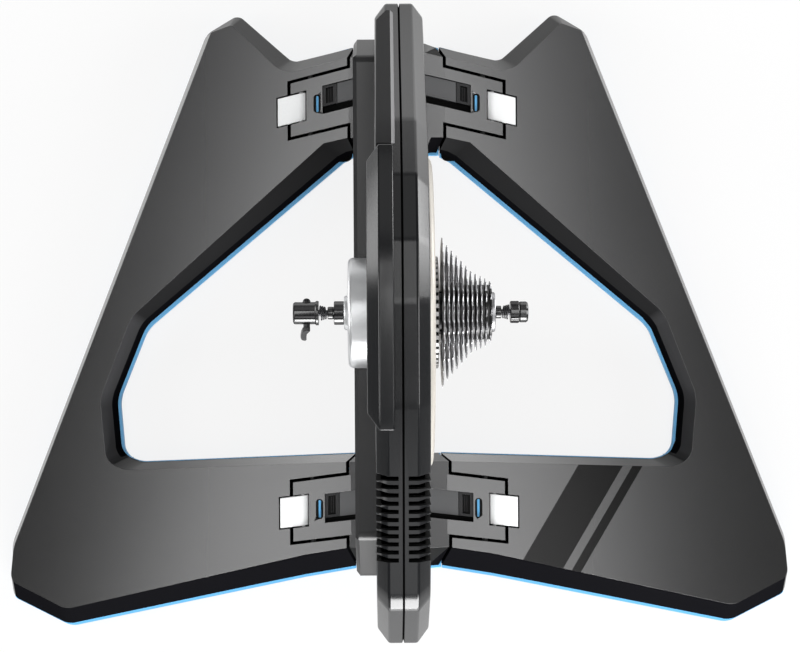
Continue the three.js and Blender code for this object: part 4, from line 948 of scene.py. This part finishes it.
piece(on_axle([
    (7.8, -19.2), (43.3, -19.2), (43.3, -22.6), (42.9, -23), (42.9, -23.6), (43.3, -24),
    (43.3, -37.2), (42.6, -39), (41.2, -40.4), (40, -40.7), (33, -40.7), (32.4, -40.2),
    (20, -40.2), (19.4, -40.7), (14, -40.7), (13.4, -43.2), (12.6, -44), (7.8, -44),
], 128), "axle_boss", "base", "silver_boss", boss_silver, "axle_boss_left")
tube = on_axle([(3.2, -43.8), (7.2, -43.8), (7.5, -43.5), (7.5, 69.7), (7.2, 70), (3.2, 70)])
piece(tube, "axle_tube", "base", "steel", steel, "hollow_axle")
piece(on_axle([
    (3.2, -44.2), (8.9, -44.2), (9.3, -44.6), (9.3, -51.6), (8.8, -52), (5, -52), (4.7, -52.6),
    (5, -53.2), (5, -56.4), (4.4, -57), (3.2, -57),
]), "drop_out_collar", "base", "black_metal", skewer_black, "dropout_collar_left")
piece(on_axle([
    (3.2, 70.3), (7.2, 70.3), (7.5, 70.6), (7.5, 73.6), (7.1, 74), (5, 74), (4.7, 74.6),
    (5, 75.2), (5, 78.5), (4.5, 79), (3.2, 79),
]), "axle_end_cap", "base", "black_metal", skewer_black, "end_cap_right")

# Rotor. A cast and turned disc with a pale satin coat in the right half's opening, and
# round its hub a ring with a row of notches that the sensor reads.
rotor_cream = turned_metal("rotor_cream", (0.57, 0.54, 0.49), 0.4, 0.25, 3000, drift=0.04)
ring_zinc = turned_metal("ring_zinc", (0.42, 0.42, 0.42), 0.42, 0.6)


def round_axle(work, kept):
    """The faces kept by normal, place and radius about the axle line, in order round it."""
    work.normal_update()
    rows = [(face, middle(face) - axle_line) for face in work.faces]
    rows = [row for row in rows if kept(row[0].normal, row[1], row[1].yz.length / mm)]
    return [face for face, spot in sorted(rows, key=lambda row: math.atan2(*row[1].yz))]


piece(on_axle([
    (12, 10), (123, 10), (123, 15), (122.4, 19), (121, 22), (118.6, 24), (116, 24.6),
    (112, 24.6), (111.4, 24.2), (58, 24.2), (57.4, 24.6), (46.5, 24.6), (46, 24.2), (12, 24.2),
], 128), "motor_rotor", "rotor", "rotor_metal", rotor_cream, "rotor_disc")
notched = on_axle([(30, 24.6), (30, 29.4), (43.4, 29.4), (43.9, 28.9), (43.9, 24.6)], 88)
notches = round_axle(notched, lambda normal, spot, radius: (
    abs(normal.x) < 0.1 and spot.x > 24 * mm and radius > 40
))[::2]
bmesh.ops.inset_individual(notched, faces=notches, thickness=0.5 * mm, depth=-1.5 * mm)
# The notches are painted black as the shade in them.
coated(notches, 1)
piece(notched, "rotor_sensor_ring", "rotor", "rotor_metal", (ring_zinc, recess_shade_black))

# Cassette. Eleven stamped steel sprockets in nickel on black carriers, the three largest
# riveted in one cluster and the next two in another. All but the four smallest are cut out for
# weight.
window_count, first_start, start_pitch = 6, 31.9, 3.74


def sprocket(start, teeth, inner=0.0, outer=0.0, hole_at=0.0, hole=0.0):
    """One sprocket: a tooth turned round the axle line, its bore, windows and holes."""
    work = bmesh.new()
    pitch_radius = 12.7 / (2 * math.sin(math.pi / teeth))
    turn = 2 * math.pi / teeth

    def outlined(points, repeats, closed):
        loop = [
            work.verts.new(axle_line + Vector((
                start * mm, r * math.sin(angle) * mm, r * math.cos(angle) * mm,
            ))) for angle, r in points
        ]
        pairs = list(zip(loop, loop[1:] + (loop[:1] if closed else [])))
        edges = [work.edges.new(pair) for pair in pairs]
        bmesh.ops.spin(
            work, geom=loop + edges, cent=axle_line, axis=(1, 0, 0), use_duplicate=True,
            angle=2 * math.pi * (repeats - 1) / repeats, steps=repeats - 1,
        )

    outlined([(turn * share, pitch_radius + lift) for share, lift in (
        (-0.5, -3.9), (-0.34, -3.3), (-0.22, -1.2), (-0.1, 1.6), (-0.05, 2.0), (0.07, 2.0),
        (0.12, 1.5), (0.22, -1.2), (0.34, -3.3), (0.5, -3.9),
    )], teeth, False)
    outlined([(math.pi * step / 24, 18.0) for step in range(3)], 24, False)
    if outer:
        half, corner = math.pi / window_count * 0.66, 1.6 / outer
        flank = [(half - corner, inner), (half - corner * 0.6, inner + 1.6),
                 (half, outer - 1.6), (half - corner, outer)]
        mirrored = [(-angle, r) for angle, r in reversed(flank)]
        outlined([(0, inner), *flank, (0, outer), *mirrored], window_count, True)
    if hole:
        outlined([
            (hole * math.cos(way) / hole_at, hole_at + hole * math.sin(way))
            for way in (math.pi / 4 * step for step in range(8))
        ], teeth, True)
    bmesh.ops.remove_doubles(work, verts=work.verts, dist=0.02 * mm)
    bmesh.ops.triangle_fill(work, edges=work.edges, use_beauty=True, normal=(1, 0, 0))
    thickened(work, (1.8, 0, 0))
    for vert in work.verts:
        reach = (vert.co - axle_line).yz.length / mm
        thinned = 0.6 if reach > pitch_radius - 0.5 else (0.35 if reach > 22 else 0)
        vert.co.x += (start * mm + 0.9 * mm - vert.co.x) * thinned
    bmesh.ops.recalc_face_normals(work, faces=work.faces)
    softened(work, outer_edges(work, 60, lambda edge: abs(run(edge).x) < mm), 0.22 * mm, 1)
    return work


def carrier(start, stop):
    work = on_axle([(17.6, start), (21.2, start), (21.5, start + 0.3), (21.5, stop - 0.3),
                    (21.2, stop), (17.6, stop)], 72)
    coated(work.faces, 1)
    return work


sprocket_nickel = turned_metal("sprocket_nickel", (0.38, 0.38, 0.39), 0.36, 1, 1500, drift=0.1)
carrier_black = turned_metal("carrier_black", (0.006, 0.006, 0.006), 0.3, 0.1, 4200)
clusters = [
    ("28_25_23", [(28, 24, 41, 47.5, 1.9), (25, 24, 39.5, 43.4, 1.2), (23, 24, 38)]),
    ("21_19", [(21, 23.5, 34.5), (19, 23.5, 31)]),
    ("17", [(17, 0, 0, 26.2, 1.9)]), ("15", [(15, 0, 0, 23.6, 1.1)]),
    *((str(teeth), [(teeth,)]) for teeth in (14, 13, 12, 11)),
]
place = 0
for name, members in clusters:
    starts = [first_start + start_pitch * (place + step) for step in range(len(members))]
    place += len(members)
    core = carrier(starts[0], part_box(f"sprockets_{name}")[1].x / mm)
    teeth = [sprocket(start, *cut) for start, cut in zip(starts, members)]
    piece(gathered(*teeth, core), f"cassette_{name}", "cassette", "sprocket_steel",
          (sprocket_nickel, carrier_black), f"sprockets_{name}")

# Freehub and lockring. The black aluminium freehub has splines that the sprockets slide
# on, and a threaded ring with notches for its key holds them there.
hub = on_axle([
    (7.9, 27.6), (14.7, 27.6), (15, 27.9), (15, 29.4), (16.4, 29.7), (17.2, 30.2), (17.2, 70.4),
    (16.6, 71), (7.9, 71),
], 72)
barrel = round_axle(hub, lambda normal, spot, radius: abs(normal.x) < 0.05 and radius > 17)
grooved = [face for index, face in enumerate(barrel) if index % 8 in (0, 1)]
bmesh.ops.inset_individual(hub, faces=grooved, thickness=0.3 * mm, depth=-0.8 * mm)
piece(hub, "freehub_barrel", "cassette", "black_metal", carrier_black, "freehub_body")
ring = on_axle([(7.9, 71.3), (15.6, 71.3), (15.6, 73.3), (15, 73.9), (13.4, 73.9), (13.1, 73.3),
                (9, 73.3), (8.7, 73.9), (7.9, 73.9)], 72)
notches = round_axle(ring, lambda normal, spot, radius: normal.x > 0.9 and radius > 13.2)[::3]
bmesh.ops.inset_individual(ring, faces=notches, thickness=0.15 * mm, depth=-0.5 * mm)
piece(ring, "cassette_lockring", "cassette", "sprocket_steel", sprocket_nickel, "lockring")

# Quick release. A steel rod through the hollow axle, a conical spring at each end, a
# knurled nut on the right, and on the left a cam in a cap with a curved lever.
rod = on_axle([(0, -70.6), (2.2, -70.6), (2.4, -70.4), (2.4, 96.6), (2, 97), (0, 97)], 32)
spring_steel = turned_metal("spring_steel", (0.07, 0.07, 0.075), 0.35, 0.8)
piece(rod, "skewer_shaft", "base", "steel", spring_steel, "skewer_rod")
wire_radius, wire_room, curls, curl_steps = 0.65 * mm, 0.7 * mm, 3, 120
for side, sign in sides:
    low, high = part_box(f"skewer_spring_{side}")
    near, far = sorted((abs(low.x), abs(high.x)))
    coil = bmesh.new()
    wire_start = Matrix.Translation((sign * (near + wire_room), axle_line.y, 345 * mm))
    bmesh.ops.create_circle(coil, segments=10, radius=wire_radius,
                            matrix=wire_start @ Matrix.Rotation(math.pi / 2, 4, "X"))
    bmesh.ops.spin(
        coil, geom=coil.verts[:] + coil.edges[:], cent=axle_line, axis=(1, 0, 0),
        dvec=(sign * (far - near - 2 * wire_room) / curl_steps, 0, 0),
        angle=2 * math.pi * curls, steps=curl_steps,
    )
    bmesh.ops.holes_fill(coil, edges=coil.edges, sides=0)
    bmesh.ops.recalc_face_normals(coil, faces=coil.faces)
    for vert in coil.verts:
        share = (abs(vert.co.x) - near) / (far - near)
        outward = vert.co - Vector((vert.co.x, *axle_line.yz))
        vert.co += outward.normalized() * (share * 1.7 - 1.0) * mm
    piece(coil, f"{side}_skewer_coil", "base", "steel", spring_steel, f"skewer_spring_{side}")
piece(on_axle([
    (2.7, -64), (9.2, -64), (9.6, -64.4), (9.6, -66), (9.2, -66.4), (8.75, -66.8), (8.75, -82.4),
    (8.3, -83.5), (7.55, -84), (0, -84), (0, -72), (2.7, -72),
]), "cam_housing", "base", "black_metal", skewer_black, "cam_cap")

# Cam lever. A cast black lever, curved round the axle's end; its pin runs through the cap
# and ends in a ball.
lever_black = moulded("lever_black", (0.012, 0.012, 0.013), 0.34, grain=1500, gloss=0.4)
arm_line = [
    (-70.6, 343.4), (-74.6, 343.8), (-76.8, 340), (-78.6, 326), (-80, 308), (-79.6, 298),
    (-77.4, 294.2), (-75.6, 297), (-75.2, 308), (-74, 326), (-71.2, 338),
]
arm_start, arm_lean = -10.6, 0.17
arm = drawn_out([(x, arm_start, z) for x, z in arm_line], (0, 3.4, 0))
softened(arm, [edge for edge in arm.edges if abs(run(edge).y) > 3 * mm], 1.2 * mm, 3)
softened(arm, outer_edges(arm, 50), 0.8 * mm, 3)
for vert in arm.verts:
    vert.co.y -= max(0, 342 * mm - vert.co.z) * arm_lean
dome = [math.radians(20 * step + 40) for step in range(7)]
pin = spun(
    [(0, 0), (2.2, 0), (2.6, 0.4), (2.6, 20)]
    + [(3.2 * math.sin(turn), 22.6 - 3.2 * math.cos(turn)) for turn in dome] + [(0, 25.8)],
    (-73.5 * mm, arm_start * mm, axle_line.z), (0, 1, 0), 40,
)
piece(gathered(arm, pin), "cam_lever", "lever", "black_metal", lever_black, "skewer_lever")

# Adjusting nut. Turned aluminium in gloss black, with a knurled band for the fingers and
# a smooth domed end.
nut = on_axle([
    (2.7, 86), (8, 86), (8.7, 86.6), (8.7, 92.4), (8.3, 92.9), (7.7, 93.3), (8.2, 93.9),
    (8.2, 98.4), (7.4, 99.6), (6.2, 100), (2.4, 100), (0, 99.4), (0, 97.2), (2.7, 97.2),
], 80)
knurls = round_axle(nut, lambda normal, spot, radius: abs(normal.x) < 0.05 and radius > 8.5)[::2]
bmesh.ops.inset_individual(nut, faces=knurls, thickness=0.08 * mm, depth=-0.45 * mm)
piece(nut, "skewer_thumb_nut", "nut", "black_metal", skewer_black, "skewer_nut")

# Parts inside the body. Lacquered copper windings, nickel-plated magnets, ground steel
# bearings and a green circuit board, as they look where the openings let them show.
copper_lacquer = turned_metal("copper_lacquer", (0.36, 0.14, 0.06), 0.42, 0.7, 900, drift=0.2)
board_green = Finish("board_green")
tracks = board_green.wire.node(
    "ShaderNodeTexBrick", None, {"Vector": board_green.spot, "Scale": 90.0}, out=1,
)
lacquer_green = board_green.wire.node(
    "ShaderNodeMix", {"data_type": "RGBA"},
    {0: tracks, 6: (0.015, 0.10, 0.045, 1), 7: (0.03, 0.2, 0.09, 1)}, out=2,
)
board_green = board_green.done(lacquer_green, 0.4, tracks, 0.2)
for node, finish in (
    ("stator", copper_lacquer), ("magnet_ring", steel), ("bearing_left", steel),
    ("bearing_right", steel), ("control_board", board_green),
):
    carried = frame["nodes"][node].data
    carried.materials.clear()
    carried.materials.append(finish)
